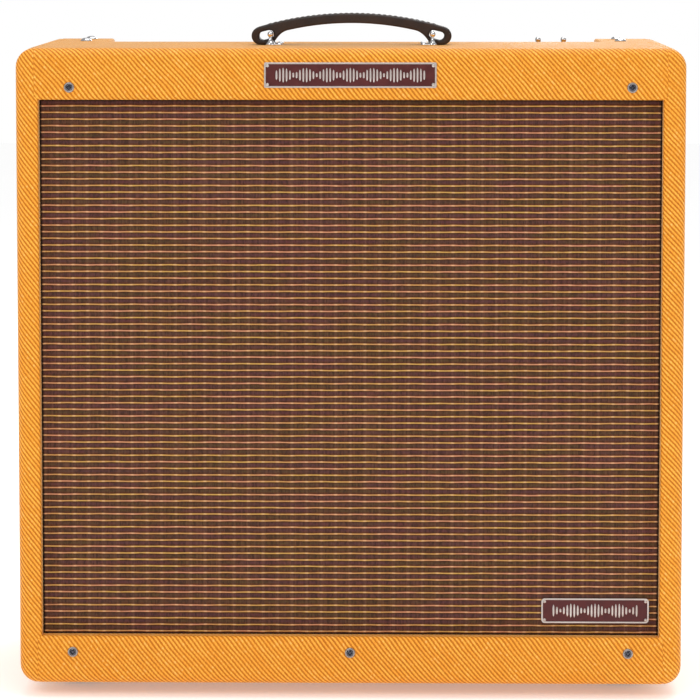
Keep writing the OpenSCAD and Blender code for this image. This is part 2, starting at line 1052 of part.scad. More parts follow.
// A pointer knob with its spindle, the panel's top at z = 0 and the pointer towards the front
module pointer_knob() {
    reach = 16.8;
    tip_r = 1.4;
    body_r = 8;
    base_z = 0.8;
    top_z = 16.5;
    difference() {
        union() {
            translate([0, 0, base_z])
                cylinder(h = 5, r = knob_d / 2);
            intersection() {
                translate([0, 0, base_z])
                    linear_extrude(top_z - base_z) {
                        circle(body_r);
                        translate([0, -reach])
                            circle(tip_r);
                        polygon([[-body_r, 0], [-tip_r, -reach], [tip_r, -reach], [body_r, 0]]);
                    }
                rotate([90, 0, 90])
                    translate([0, 0, -20])
                        linear_extrude(40)
                            polygon([[-20, 0], [-20, 9], [-6, top_z], [6, top_z], [20, 10], [20, 0]]);
            }
        }
        translate([0, 0, base_z - 1])
            cylinder(h = 5.6, r = 8.6);
    }
    translate([0, 0, -panel_t - tray_t - 8.6])
        cylinder(h = 19, r = spindle_r);
}

module control_knob(i) {
    color([0.12, 0.11, 0.1])
        translate([knob_xs[i], control_y, z_panel])
            pointer_knob();
}

module presence_knob() { control_knob(0); }
module middle_knob() { control_knob(1); }
module bass_knob() { control_knob(2); }
module treble_knob() { control_knob(3); }
module bright_volume_knob() { control_knob(4); }
module volume_knob() { control_knob(5); }

// A small round knob with a grip bar and its spindle, for the rear wall
module round_knob(r) {
    difference() {
        translate([0, 0, 1])
            cylinder(h = 11, r1 = r, r2 = r - 0.8);
        cylinder(h = 6, r = 6);
        for (s = [-1, 1])
            translate([s * (r - 1), 0, 9])
                translate([-1.6, -20, 0])
                    cube([3.2, 40, 4]);
    }
    translate([0, 0, -10])
        cylinder(h = 18, r = spindle_r);
}

module output_selector_knob() {
    color("dimgray")
        on_rear(selector_x)
            round_knob(10);
}

module line_level_knob() {
    color("dimgray")
        on_rear(level_x)
            round_knob(7.5);
}

module filter_slide() {
    color("black")
        block([slide_x - 2.5, tray_y1 - 6.5, rear_z - 1.9], [slide_x + 2.5, tray_y1 + 3.5, rear_z + 1.9]);
}

// ---------------------------------------------------------------- rear sockets

module mains_inlet() {
    color("black")
        difference() {
            union() {
                block([inlet_x - 14, tray_y1 - 24, rear_z - 10], [inlet_x + 14, tray_y1, rear_z + 10]);
                block([inlet_x - 25, tray_y1, rear_z - 11.5], [inlet_x + 25, tray_y1 + 2, rear_z + 11.5]);
            }
            block([inlet_x - 12, tray_y1 - 14, rear_z - 8], [inlet_x + 12, tray_y1 + 3, rear_z + 8]);
        }
    color("silver")
        for (p = [[-7, -3], [7, -3], [0, 3]])
            block(
                [inlet_x + p[0] - 1, tray_y1 - 16, rear_z + p[1] - 2],
                [inlet_x + p[0] + 1, tray_y1 - 3, rear_z + p[1] + 2]
            );
}

module line_out_socket() {
    color("black")
        difference() {
            union() {
                y_rod([line_x, tray_y1 - 20, rear_z], 10.5, 20);
                block([line_x - 13, tray_y1, rear_z - 15.5], [line_x + 13, tray_y1 + 2, rear_z + 15.5]);
            }
            y_rod([line_x, tray_y1 - 13, rear_z], 8.4, 20);
        }
    color("silver")
        for (a = [-90, 30, 150])
            y_rod([line_x + 5.2 * cos(a), tray_y1 - 14, rear_z + 5.2 * sin(a)], 1.2, 12);
}

// ---------------------------------------------------------------- loudspeakers

// Puts a loudspeaker, drawn looking along +Z with its flange's front at z = 0, behind the baffle
module at_speaker(i) {
    on_front()
        translate([speaker_at[i][0], baffle_back, speaker_at[i][1]])
            rotate([90, 0, 0])
                children();
}

module basket() {
    back_r = magnet_r + 4;
    difference() {
        rotate_extrude()
            polygon([
                [basket_r, 0], [flange_d / 2, 0], [flange_d / 2, -flange_t], [basket_r + 2, -flange_t],
                [back_r, magnet_z], [40, magnet_z], [40, magnet_z + 2], [back_r - 1.6, magnet_z + 2],
                [basket_r, -flange_t]
            ]);
        for (a = [22.5 : 45 : 360])
            rotate(a)
                translate([0, 0, -66])
                    linear_extrude(52)
                        polygon([[56, -14], [56, 14], [108, 34], [108, -34]]);
        for (a = [45 : 90 : 315])
            rotate(a)
                translate([bolt_pcd_r, 0, -10])
                    cylinder(h = 20, r = 2.1);
    }
    block([-8, 58, magnet_z + 1], [8, 70, magnet_z + 8]);
}

module speaker_baskets() {
    color("slategray")
        for (i = [0 : 3])
            at_speaker(i)
                basket();
}

module speaker_magnets() {
    color("dimgray")
        for (i = [0 : 3])
            at_speaker(i)
                difference() {
                    translate([0, 0, -speaker_depth])
                        cylinder(h = speaker_depth + magnet_z, r = magnet_r);
                    translate([0, 0, magnet_z - 14])
                        difference() {
                            cylinder(h = 20, r = coil_r + 2.4);
                            translate([0, 0, -1])
                                cylinder(h = 22, r = coil_r - 1);
                        }
                }
}

// One cone with its surround, spider, dust cap and coil
module cone(i) {
    edge = basket_r - 6;
    paper_t = 1;
    rim_z = -4;
    neck_z = -50;
    coil_end_z = -80;
    cap_r = 60;
    cap_z = -98;
    color("#2b2b2b")
        at_speaker(i) {
            rotate_extrude()
                polygon([
                    [edge, rim_z], [edge, rim_z - paper_t], [coil_r + 1, neck_z - paper_t],
                    [coil_r + 1, coil_end_z], [coil_r, coil_end_z], [coil_r, neck_z]
                ]);
            translate([0, 0, spider_z])
                rotate_extrude()
                    polygon([[coil_r + 0.5, 0], [54, 0], [54, 0.8], [coil_r + 0.5, 0.8]]);
            intersection() {
                translate([0, 0, cap_z])
                    difference() {
                        sphere(cap_r);
                        sphere(cap_r - paper_t);
                    }
                translate([0, 0, neck_z])
                    cylinder(h = 30, r = cap_r / 2);
            }
        }
}

module cone_lower_left() { cone(0); }
module cone_lower_right() { cone(1); }
module cone_upper_left() { cone(2); }
module cone_upper_right() { cone(3); }

// Bolts through the flanges, heads under the grille cloth and nuts behind the flanges
module speaker_bolts() {
    color("silver")
        for (i = [0 : 3])
            at_speaker(i)
                for (a = [45 : 90 : 315])
                    rotate(a)
                        translate([bolt_pcd_r, 0, 0]) {
                            translate([0, 0, -9])
                                cylinder(h = baffle_t + 8, r = 2);
                            translate([0, 0, baffle_t - 2])
                                cylinder(h = 2, r = 4);
                            translate([0, 0, -flange_t - 3.2])
                                hex_nut(7, 3.2, 2);
                        }
}

// A point of the leaning frame in the cabinet's frame
function from_front(p) = [
    p[0],
    -cab_d / 2 + p[1] * cos(lean) + p[2] * sin(lean),
    foot_h - p[1] * sin(lean) + p[2] * cos(lean)
];

function unit(v) = v / norm(v);

// A smooth route through the middles of a coarse one's runs, from its first point to its last
function smooth(p) = concat(
    [p[0]],
    [for (i = [1 : len(p) - 2]) for (t = [0 : 0.25 : 0.75])
        let (a = (p[i - 1] + p[i]) / 2, b = (p[i] + p[i + 1]) / 2)
        (1 - t) * (1 - t) * a + 2 * t * (1 - t) * p[i] + t * t * b],
    [p[len(p) - 1]]
);

function heading(p, i) = unit(p[min(i + 1, len(p) - 1)] - p[max(i - 1, 0)]);

// A direction across the route, carried along it without twist
function across(p, i) = i == 0
    ? unit(cross(heading(p, 0), [0, 1, 0]))
    : let (t = heading(p, i), u = across(p, i - 1)) unit(u - (u * t) * t);

function ring(p, i) = let (t = heading(p, i), u = across(p, i), v = cross(t, u))
    [for (k = [0 : lead_sides - 1])
        p[i] + lead_r * (cos(k * 360 / lead_sides) * u + sin(k * 360 / lead_sides) * v)];

// A round lead swept along a smooth route
module lead(p) {
    n = lead_sides;
    last = len(p) - 1;
    polyhedron(
        [for (i = [0 : last]) each ring(p, i)],
        concat(
            [[for (k = [0 : n - 1]) k]],
            [for (i = [0 : last - 1]) for (k = [0 : n - 1])
                let (a = i * n + k, b = i * n + (k + 1) % n)
                [a, a + n, b + n, b]],
            [[for (k = [0 : n - 1]) last * n + n - 1 - k]]
        )
    );
}

// From the main board down behind the baffle to each loudspeaker's terminals
module speaker_leads() {
    color("firebrick")
        for (i = [0 : 3]) {
            sx = speaker_at[i][0];
            end = from_front([sx, baffle_back - magnet_z - 4.5, speaker_at[i][1] + 70]);
            x0 = sx * (i < 2 ? 0.1 : 0.3);
            x1 = x0 * 1.2;
            lower_bend = i < 2 ? [[x1, -8, end[2] + 60]] : [];
            lead(smooth(concat(
                [[x0, 66, pcb_z], [x0, 66, tray_low - 14], [x1, 10, tray_low - 34]],
                lower_bend,
                [end + [0, 0, 12], end]
            )));
        }
}

// ---------------------------------------------------------------- assembly

side_board_left();
side_board_right();
top_board();
bottom_board();
upper_front_rail();
lower_front_rail();
cleats();
baffle_board();
tweed_left();
tweed_right();
tweed_top();
tweed_bottom();
grille_cloth();
nameplate();
grille_badge();
badge_rivets();
front_screws();
front_screw_washers();
upper_back_panel();
lower_back_panel();
back_panel_screws();
feet();
foot_screws();
handle_strap();
handle_saddles();
handle_screws();
chassis_tray();
control_panel();
chassis_bolts();
main_circuit_board();
power_supply_board();
heat_sink();
potentiometers();
input_jacks();
switch_bodies();
panel_nuts();
pilot_lamp_holder();
pilot_jewel();
power_toggle_lever();
standby_toggle_lever();
presence_knob();
middle_knob();
bass_knob();
treble_knob();
bright_volume_knob();
volume_knob();
mains_inlet();
line_out_socket();
footswitch_jack();
output_selector_knob();
line_level_knob();
filter_slide();
speaker_baskets();
speaker_magnets();
speaker_bolts();
speaker_leads();
cone_lower_left();
cone_lower_right();
cone_upper_left();
cone_upper_right();
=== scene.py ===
# The looks of a tweed guitar combo amplifier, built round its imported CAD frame.
# Metres. X is to the right seen from the front, Y to the back, Z up.

import json
import random
from math import acos, asin, atan2, cos, pi, radians, sin, sqrt

import bmesh
import bpy
from mathutils import Matrix, Vector


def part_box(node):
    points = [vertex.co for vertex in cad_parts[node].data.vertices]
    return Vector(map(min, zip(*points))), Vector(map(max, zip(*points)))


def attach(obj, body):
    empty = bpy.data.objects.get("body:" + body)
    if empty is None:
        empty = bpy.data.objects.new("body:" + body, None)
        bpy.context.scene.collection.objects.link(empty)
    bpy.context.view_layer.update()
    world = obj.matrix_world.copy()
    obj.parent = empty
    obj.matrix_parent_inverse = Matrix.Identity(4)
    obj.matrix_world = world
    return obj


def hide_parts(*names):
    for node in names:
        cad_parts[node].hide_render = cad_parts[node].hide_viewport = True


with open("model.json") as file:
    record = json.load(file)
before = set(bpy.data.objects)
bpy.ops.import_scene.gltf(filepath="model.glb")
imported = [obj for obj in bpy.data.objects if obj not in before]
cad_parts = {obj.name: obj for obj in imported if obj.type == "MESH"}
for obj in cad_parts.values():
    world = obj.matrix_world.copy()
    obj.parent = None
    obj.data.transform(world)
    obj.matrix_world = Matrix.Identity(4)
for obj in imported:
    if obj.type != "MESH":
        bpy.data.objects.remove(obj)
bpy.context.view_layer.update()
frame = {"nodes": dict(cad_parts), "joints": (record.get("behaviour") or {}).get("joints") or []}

MM = 0.001
TAU = 2 * pi
CORNERS = [(sx, sy) for sx in (-1, 1) for sy in (-1, 1)]


# ------------------------------------------------------------------ measures from the frame

def joint(name):
    return next(j for j in frame["joints"] if j["name"] == name)


def at(x, y, z):
    return Matrix.Translation((x, y, z))


cone_axis = joint("cone_lower_left_travel")["axis"]
LEAN = atan2(cone_axis[2], -cone_axis[1])
HALF_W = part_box("tweed_right")[1].x
BOTTOM_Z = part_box("tweed_bottom")[0].z
TOP_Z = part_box("tweed_top")[1].z
BACK_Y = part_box("tweed_left")[1].y
FRONT_Y = -BACK_Y
FACE_H = (TOP_Z - BOTTOM_Z) / cos(LEAN)
BOARD_IN_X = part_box("side_board_right")[0].x
ROOF_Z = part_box("control_panel")[1].z
DECK_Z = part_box("bottom_board")[1].z
RECESS_X = 232 * MM
RECESS_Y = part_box("control_panel")[0].y + 1.5 * MM
PANEL_Y = joint("volume_turn")["pos_m"][1]

# The front, measured up the leaning face from its bottom edge
CORNER_R = 17 * MM
EDGE_R = 10 * MM
WINDOW_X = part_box("grille_cloth")[1].x
WINDOW_LOW = 44 * MM
WINDOW_HIGH = FACE_H - 46 * MM
WINDOW_R = 2.5 * MM
CLOTH_DEPTH = 13 * MM
SEAM_X = HALF_W - CORNER_R
SEAM_DIP = 0.3 * MM
REAR_R = 3 * MM
INNER_R = 1.5 * MM
FOLD_PROUD = 0.6 * MM
FOLD_DEEP = 15 * MM
STRIPE_PITCH = 3.16 * MM
KNOT_PITCH = 13.1 * MM


def lean_point(x, depth, up):
    """A point of the front: depth behind its plane, up measured along it from the bottom edge."""
    c, s = cos(LEAN), sin(LEAN)
    return Vector((x, FRONT_Y + depth * c + up * s, BOTTOM_Z + up * c - depth * s))


def lean_matrix(x, depth, up):
    """Local X to the right, local Y up the face and local Z towards the viewer."""
    c, s = cos(LEAN), sin(LEAN)
    turn = Matrix(((1, 0, 0, 0), (0, s, -c, 0), (0, c, s, 0), (0, 0, 0, 1)))
    return Matrix.Translation(lean_point(x, depth, up)) @ turn


def srgb(r, g, b):
    """A linear colour from display values of 0 to 255."""
    def linear(c):
        c /= 255
        return c / 12.92 if c <= 0.04045 else ((c + 0.055) / 1.055) ** 2.4
    return (linear(r), linear(g), linear(b), 1.0)


def spread(a, b, n):
    """n + 1 values from a to b."""
    return [a + (b - a) * i / n for i in range(n + 1)]


def bend(r, steps=5):
    """A quarter turn of radius r, as (gone on, gone aside, the cloth's length along it)."""
    return [(r * sin(g), r * (1 - cos(g)), r * g) for g in spread(0, pi / 2, steps)]


def ring(r, z, steps, twist=0.0):
    """Points evenly round the Z axis, turned by a share of a step."""
    angles = [TAU * (k + twist) / steps for k in range(steps)]
    return [Vector((r * cos(a), r * sin(a), z)) for a in angles]


def bare(points):
    """Points as a row for a mesh that needs no cloth coordinates."""
    return [(p, (0, 0)) for p in points]


# ------------------------------------------------------------------ materials

class Graph:
    """A material being made, with short calls for the nodes it needs."""

    def __init__(self, name, **settings):
        self.material = bpy.data.materials.new(name)
        self.material.use_nodes = True
        self.tree = self.material.node_tree
        self.shader = self.tree.nodes["Principled BSDF"]
        for key, value in settings.items():
            self.shader.inputs[key.replace("_", " ").title().replace("Ior", "IOR")].default_value = value

    def put(self, socket, value):
        if isinstance(value, bpy.types.NodeSocket):
            self.tree.links.new(value, socket)
        else:
            socket.default_value = value

    def node(self, kind, inputs=(), **settings):
        n = self.tree.nodes.new("ShaderNode" + kind)
        for key, value in settings.items():
            setattr(n, key, value)
        for key, value in dict(inputs).items():
            self.put(n.inputs[key], value)
        return n

    def math(self, operation, a, b=0.0):
        return self.node("Math", {0: a, 1: b}, operation=operation).outputs[0]

    def add(self, a, b):
        return self.math("ADD", a, b)

    def times(self, a, b):
        return self.math("MULTIPLY", a, b)

    def wave(self, turns):
        """0 to 1 and back, once for each turn, with its top at whole numbers."""
        return self.add(self.times(self.math("COSINE", self.times(turns, TAU)), 0.5), 0.5)

    def ease(self, value, low, high, to_low=0.0, to_high=1.0):
        n = self.node("MapRange", {0: value, 1: low, 2: high, 3: to_low, 4: to_high},
                      interpolation_type="SMOOTHSTEP")
        return n.outputs[0]

    def noise(self, vector, scale, detail=2.0, roughness=0.5):
        inputs = {"Vector": vector, "Scale": scale, "Detail": detail, "Roughness": roughness}
        return self.node("TexNoise", inputs).outputs["Fac"]

    def join(self, x, y, z=0.0):
        return self.node("CombineXYZ", {0: x, 1: y, 2: z}).outputs[0]

    def split(self, vector):
        return self.node("SeparateXYZ", {0: vector}).outputs

    def cloth(self):
        """The cloth coordinates of a piece, in metres along its two directions."""
        return self.split(self.node("UVMap", uv_map="cloth").outputs[0])

    def place(self, scale=(1, 1, 1)):
        """The place in the object, scaled."""
        where = self.node("TexCoord").outputs["Object"]
        return self.node("Mapping", {"Vector": where, "Scale": scale}).outputs[0]

    def mix(self, share, a, b):
        n = self.node("Mix", data_type="RGBA")
        self.put(n.inputs[0], share)
        self.put(n.inputs[6], a)
        self.put(n.inputs[7], b)
        return n.outputs[2]

    def bump(self, height, distance, strength=1.0):
        n = self.node("Bump", {"Height": height, "Distance": distance, "Strength": strength})
        self.put(self.shader.inputs["Normal"], n.outputs[0])

    def colour(self, value):
        self.put(self.shader.inputs["Base Color"], value)

    def rough(self, value):
        self.put(self.shader.inputs["Roughness"], value)


def tweed_material():
    """Lacquered twill: amber cords over darker ones, on the slant."""
    g = Graph("tweed", specular_ior_level=0.2, coat_weight=0.04, coat_roughness=0.3,
              sheen_weight=0.6, sheen_roughness=0.24, sheen_tint=(1, 0.9, 0.6, 1))
    pitch, slant = STRIPE_PITCH, radians(47.3)
    u, v, _ = g.cloth()
    where = g.join(u, v)
    wander = g.times(g.add(g.noise(where, 28, 2), -0.5), 0.5)
    across = g.add(g.times(u, sin(slant) / pitch), g.times(v, cos(slant) / pitch))
    across = g.add(across, wander)
    along = g.add(g.times(u, cos(slant) / pitch), g.times(v, -sin(slant) / pitch))
    ridge = g.wave(across)
    cord = g.ease(g.add(ridge, g.times(g.add(g.noise(where, 340, 2), -0.5), 0.5)), 0.24, 0.8)
    row = g.math("FLOOR", g.add(across, 0.5))
    twist = g.wave(g.add(g.times(along, 0.95), g.times(across, 0.62)))
    weft = g.wave(g.times(along, 1.9))
    streak = g.noise(g.join(g.times(row, 3.7), g.times(along, 0.11)), 1.0, 2)
    patch = g.noise(where, 9, 3)
    fleck = g.noise(g.join(g.times(row, 5.1), g.times(along, 0.75)), 1.0, 1)
    nub = g.noise(where, 620, 2, 0.6)
    bright = g.mix(g.ease(streak, 0.35, 0.65), srgb(250, 166, 54), srgb(255, 182, 70))
    bright = g.mix(g.ease(fleck, 0.56, 0.74, 0, 0.6), bright, srgb(255, 200, 112))
    dark = g.mix(g.ease(fleck, 0.3, 0.7), srgb(180, 98, 0), srgb(202, 118, 4))
    dark = g.mix(g.times(weft, 0.25), dark, srgb(222, 138, 18))
    base = g.mix(cord, dark, bright)
    base = g.mix(g.times(twist, 0.28), base, g.mix(cord, srgb(174, 94, 2), srgb(222, 134, 22)))
    base = g.mix(g.ease(nub, 0.55, 0.75, 0, 0.3), base, srgb(255, 196, 92))
    base = g.mix(g.ease(nub, 0.25, 0.42, 0.3, 0), base, srgb(190, 106, 4))
    g.colour(g.mix(g.ease(patch, 0.3, 0.7, 0, 0.12), base, srgb(234, 148, 34)))
    g.rough(g.ease(patch, 0.3, 0.7, 0.42, 0.56))
    height = g.add(g.times(ridge, 0.7), g.times(g.times(twist, ridge), 0.3))
    g.bump(g.add(height, g.times(nub, 0.25)), 0.42 * MM, 0.9)
    return g.material


def rim_shade(g, u, v):
    """How far a place lies in the shadow line round the grille, 0 to 1."""
    side = g.ease(g.math("ABSOLUTE", u), WINDOW_X - 2.6 * MM, WINDOW_X - 1.0 * MM)
    top = g.ease(v, 81.0, 81.4, 0, 0.8)
    low = g.ease(v, 0.12, 0.32, 1, 0)
    return g.math("MAXIMUM", g.math("MAXIMUM", side, top), low)


def knots(g, u):
    """The places along every row where a heavier upright thread crosses it, 0 to 1."""
    return g.ease(g.wave(g.times(u, 1 / KNOT_PITCH)), 0.8, 1.0)


def grille_material():
    """The grille's ground: mauve and olive rows with fine upright threads. Each row is reddish over
    the cord below it and painted darkest under the cord above it, as that cord's painted shade."""
    g = Graph("grille_ground", roughness=0.8, specular_ior_level=0.2)
    u, v, _ = g.cloth()
    row = g.math("FLOOR", g.add(v, -0.5))
    rise = g.math("FRACT", g.add(v, -0.5))
    tint = g.noise(g.join(g.times(u, 9), g.times(row, 2.37)), 1.0, 3)
    hue = g.noise(g.join(g.times(u, 31), g.times(row, 5.71)), 1.0, 2)
    thread = g.noise(g.join(g.times(u, 430), g.times(v, 1.1)), 1.0, 2, 0.7)
    column = g.noise(g.join(g.times(u, 620), g.times(v, 0.05)), 1.0, 2, 0.6)
    ground = g.mix(g.ease(tint, 0.43, 0.57), srgb(84, 50, 50), srgb(80, 58, 34))
    ground = g.mix(g.ease(hue, 0.5, 0.7, 0, 0.5), ground, srgb(94, 46, 44))
    ground = g.mix(g.ease(rise, 0.24, 0.44, 0.85, 0), ground, g.mix(hue, srgb(90, 36, 18), srgb(82, 44, 14)))
    # painted shade: the top of each row, just under the cord above it, is painted darker
    ground = g.mix(g.ease(rise, 0.64, 0.84), ground, g.mix(tint, srgb(76, 42, 5), srgb(62, 30, 6)))
    ground = g.mix(g.ease(thread, 0.42, 0.62, 0, 0.6), ground, srgb(44, 26, 20))
    ground = g.mix(g.ease(column, 0.46, 0.66, 0, 0.22), ground, srgb(126, 88, 68))
    ground = g.mix(g.times(knots(g, u), 0.09), ground, srgb(140, 100, 80))
    g.colour(g.mix(rim_shade(g, u, v), ground, srgb(30, 15, 7)))
    g.bump(g.add(g.times(thread, 0.6), g.times(column, 0.4)), 0.3 * MM, 0.8)
    return g.material


def cord_material():
    """The grille's raised gold cords: yellow, tan and pink by turns along each one."""
    g = Graph("grille_cord", roughness=0.5, specular_ior_level=0.35)
    u, v, _ = g.cloth()
    row = g.times(g.math("FLOOR", v), 3.13)
    tint = g.noise(g.join(g.times(u, 17), row), 1.0, 2)
    glint = g.noise(g.join(g.times(u, 75), row), 1.0, 2)
    base = g.mix(g.ease(tint, 0.38, 0.52), srgb(196, 132, 96), srgb(190, 138, 76))
    base = g.mix(g.ease(tint, 0.52, 0.66), base, srgb(194, 148, 74))
    base = g.mix(g.ease(glint, 0.28, 0.42, 0.5, 0), base, srgb(150, 96, 54))
    base = g.mix(g.times(knots(g, u), 0.4), base, srgb(236, 190, 140))
    g.colour(g.mix(g.times(rim_shade(g, u, 40.0), 0.9), base, srgb(34, 24, 10)))
    g.bump(g.wave(g.times(u, 1 / (1.6 * MM))), 0.15 * MM, 0.7)
    return g.material


def leather_material(name, colour, worn, grain=850.0):
    g = Graph(name, roughness=0.5, specular_ior_level=0.45)
    where = g.place()
    cells = g.node("TexVoronoi", {"Vector": where, "Scale": grain}, feature="DISTANCE_TO_EDGE").outputs[0]
    crease = g.ease(cells, 0.0, 0.22)
    blotch = g.noise(where, 60, 3)
    base = g.mix(g.ease(blotch, 0.35, 0.7), colour, worn)
    # painted shade: the grain's creases are painted darker
    g.colour(g.mix(g.ease(crease, 0, 1, 0.5, 0), base, srgb(22, 15, 12)))
    g.rough(g.ease(blotch, 0.3, 0.7, 0.34, 0.5))
    g.bump(crease, 0.25 * MM, 0.7)
    return g.material


def metal_material(name, colour, rough, brushed=(1, 1, 1), scratch=0.1):
    """Bare or plated metal, brushed along the direction with the smallest scale."""
    g = Graph(name, metallic=1.0)
    lines = g.noise(g.place(brushed), 400, 3, 0.6)
    smudge = g.noise(g.place(), 26, 3)
    g.colour(g.mix(g.ease(smudge, 0.4, 0.75, 0, 0.22), colour, tuple(c * 0.72 for c in colour[:3]) + (1,)))
    g.rough(g.add(g.ease(smudge, 0.3, 0.7, rough, rough * 1.5), g.times(lines, scratch * 0.5)))
    g.bump(lines, 0.02 * MM, scratch)
    return g.material


def plastic_material(name, colour, rough, grain=0.0, **settings):
    g = Graph(name, **settings)
    where = g.place()
    fine = g.noise(where, 1500, 2)
    smudge = g.noise(where, 45, 3)
    paler = tuple(min(1, c * 1.5 + 0.01) for c in colour[:3]) + (1,)
    g.colour(g.mix(g.ease(smudge, 0.4, 0.8, 0, 0.3), colour, paler))
    g.rough(g.ease(smudge, 0.3, 0.7, rough * 0.85, rough * 1.2))
    g.bump(fine, 0.06 * MM, grain)
    return g.material


def wood_material(name, pale, dark, grain):
    """Planed board. grain scales the place so that it is smallest along the grain."""
    g = Graph(name, roughness=0.62, specular_ior_level=0.35)
    where = g.place(grain)
    bend = g.noise(where, 3.0, 2)
    rings = g.wave(g.add(g.times(bend, 9), g.times(g.noise(where, 26, 2), 0.5)))
    fibre = g.noise(where, 320, 3, 0.7)
    base = g.mix(g.ease(rings, 0.55, 0.95, 0, 0.75), pale, dark)
    g.colour(g.mix(g.ease(fibre, 0.45, 0.75, 0, 0.45), base, dark))
    g.bump(g.add(g.times(fibre, 0.7), g.times(rings, 0.3)), 0.12 * MM, 0.6)
    return g.material


def enamel_material():
    g = Graph("plate_enamel", specular_ior_level=0.3, coat_weight=0.05, coat_roughness=0.15)
    cloud = g.noise(g.place(), 120, 3)
    g.colour(g.mix(g.ease(cloud, 0.3, 0.7), srgb(74, 24, 24), srgb(86, 31, 30)))
    g.rough(g.ease(cloud, 0.3, 0.7, 0.4, 0.52))
    g.bump(g.noise(g.place(), 1800, 2), 0.03 * MM, 0.4)
    return g.material


def paper_material():
    """Felted loudspeaker paper."""
    g = Graph("cone_paper", roughness=0.85, specular_ior_level=0.25)
    where = g.place()
    fibre = g.noise(where, 700, 4, 0.7)
    cloud = g.noise(where, 50, 3)
    base = g.mix(g.ease(cloud, 0.35, 0.7), srgb(52, 50, 48), srgb(66, 63, 59))
    g.colour(g.mix(g.ease(fibre, 0.5, 0.75, 0, 0.5), base, srgb(98, 94, 88)))
    g.bump(fibre, 0.15 * MM, 0.8)
    return g.material


def circuit_material():
    """Solder mask with paler tracks on a square plan."""
    g = Graph("circuit_board", roughness=0.35)
    where = g.place()
    x, y, _ = g.split(where)
    tracks = g.math("MAXIMUM", g.wave(g.times(x, 180)), g.wave(g.times(y, 260)))
    cut = g.noise(where, 120, 1)
    shown = g.times(g.ease(tracks, 0.9, 0.97), g.ease(cut, 0.45, 0.5))
    g.colour(g.mix(shown, srgb(18, 84, 48), srgb(48, 128, 78)))
    g.bump(shown, 0.05 * MM, 0.6)
    return g.material


def jewel_material():
    g = Graph("jewel_glass", roughness=0.06, ior=1.5, transmission_weight=0.55, coat_weight=0.5)
    where = g.place()
    g.colour(g.mix(g.noise(where, 200, 2), srgb(190, 10, 12), srgb(232, 30, 24)))
    g.shader.inputs["Emission Color"].default_value = srgb(255, 40, 20)
    g.shader.inputs["Emission Strength"].default_value = 0.12
    return g.material


TWEED = tweed_material()
GRILLE = grille_material()
CORD = cord_material()
LEATHER = leather_material("handle_leather", srgb(38, 25, 18), srgb(56, 38, 28))
# the thread's paler colour is partly its own and partly a painted highlight along the handle's top edge
THREAD = leather_material("stitch_thread", srgb(58, 44, 36), srgb(92, 76, 64), 1600.0)
ENAMEL = enamel_material()
CHROME = metal_material("chrome", (0.80, 0.80, 0.81, 1), 0.1, scratch=0.04)
SATIN = metal_material("satin_silver", (0.66, 0.59, 0.55, 1), 0.32, scratch=0.1)
AGED_NICKEL = metal_material("aged_nickel", (0.42, 0.38, 0.36, 1), 0.3)
DARK_STEEL = metal_material("blued_steel", (0.12, 0.12, 0.14, 1), 0.2, scratch=0.06)
STEEL = metal_material("nickel_steel", (0.62, 0.61, 0.59, 1), 0.28, scratch=0.1)
PANEL = metal_material("panel_chrome", (0.80, 0.80, 0.80, 1), 0.15, (0.02, 0.4, 1), 0.02)
CHASSIS = metal_material("chassis_steel", (0.60, 0.60, 0.60, 1), 0.36, (0.05, 1, 1), 0.25)
ALUMINIUM = metal_material("aluminium", (0.70, 0.70, 0.72, 1), 0.34, (0.05, 1, 1), 0.2)
BLACK = plastic_material("black_plastic", srgb(30, 30, 31), 0.42, 0.5)
KNOB = plastic_material("knob_plastic", srgb(26, 24, 23), 0.22, 0.12, coat_weight=0.3)
WHITE = plastic_material("white_line", srgb(236, 232, 222), 0.4, 0.2)
INK = plastic_material("panel_ink", srgb(24, 24, 26), 0.5, 0.2)
RUBBER = plastic_material("rubber", srgb(34, 34, 34), 0.75, 0.9)
LEAD = plastic_material("lead_plastic", srgb(158, 28, 22), 0.38, 0.2)
BASKET = plastic_material("basket_paint", srgb(116, 118, 121), 0.38, 0.8, metallic=0.35)
MAGNET = plastic_material("magnet_ferrite", srgb(46, 46, 48), 0.6, 0.8, metallic=0.2)
PAPER = paper_material()
CIRCUIT = circuit_material()
JEWEL = jewel_material()
PINE_UPRIGHT = wood_material("pine_upright", srgb(233, 204, 154), srgb(196, 150, 92), (1, 1, 0.05))
PINE_ACROSS = wood_material("pine_across", srgb(231, 202, 152), srgb(194, 148, 90), (0.05, 1, 1))
PLYWOOD = wood_material("birch_plywood", srgb(214, 180, 130), srgb(176, 134, 84), (0.07, 1, 1))


# ------------------------------------------------------------------ building pieces

def placed(name, data):
    """A new object that holds the data, in the scene."""
    obj = bpy.data.objects.new(name, data)
    bpy.context.scene.collection.objects.link(obj)
    return obj


def drawn_mesh(name, curve):
    """The mesh that a curve or a text makes."""
    obj = placed(name, curve)
    bpy.context.view_layer.update()
    mesh = bpy.data.meshes.new_from_object(obj.evaluated_get(bpy.context.evaluated_depsgraph_get()))
    bpy.data.objects.remove(obj)
    mesh.materials.clear()
    return mesh


def piece(name, mesh, material, body="cabinet", slot=None, replaces=(), angle=35):
    """A mesh as a piece of the object, riding on a body, smooth except at edges over the angle."""
    obj = placed(name, mesh)
    mesh.materials.append(material)
    mesh.shade_smooth()
    mesh.set_sharp_from_angle(angle=radians(angle))
    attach(obj, body)
    if replaces:
        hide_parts(*replaces)
    return obj


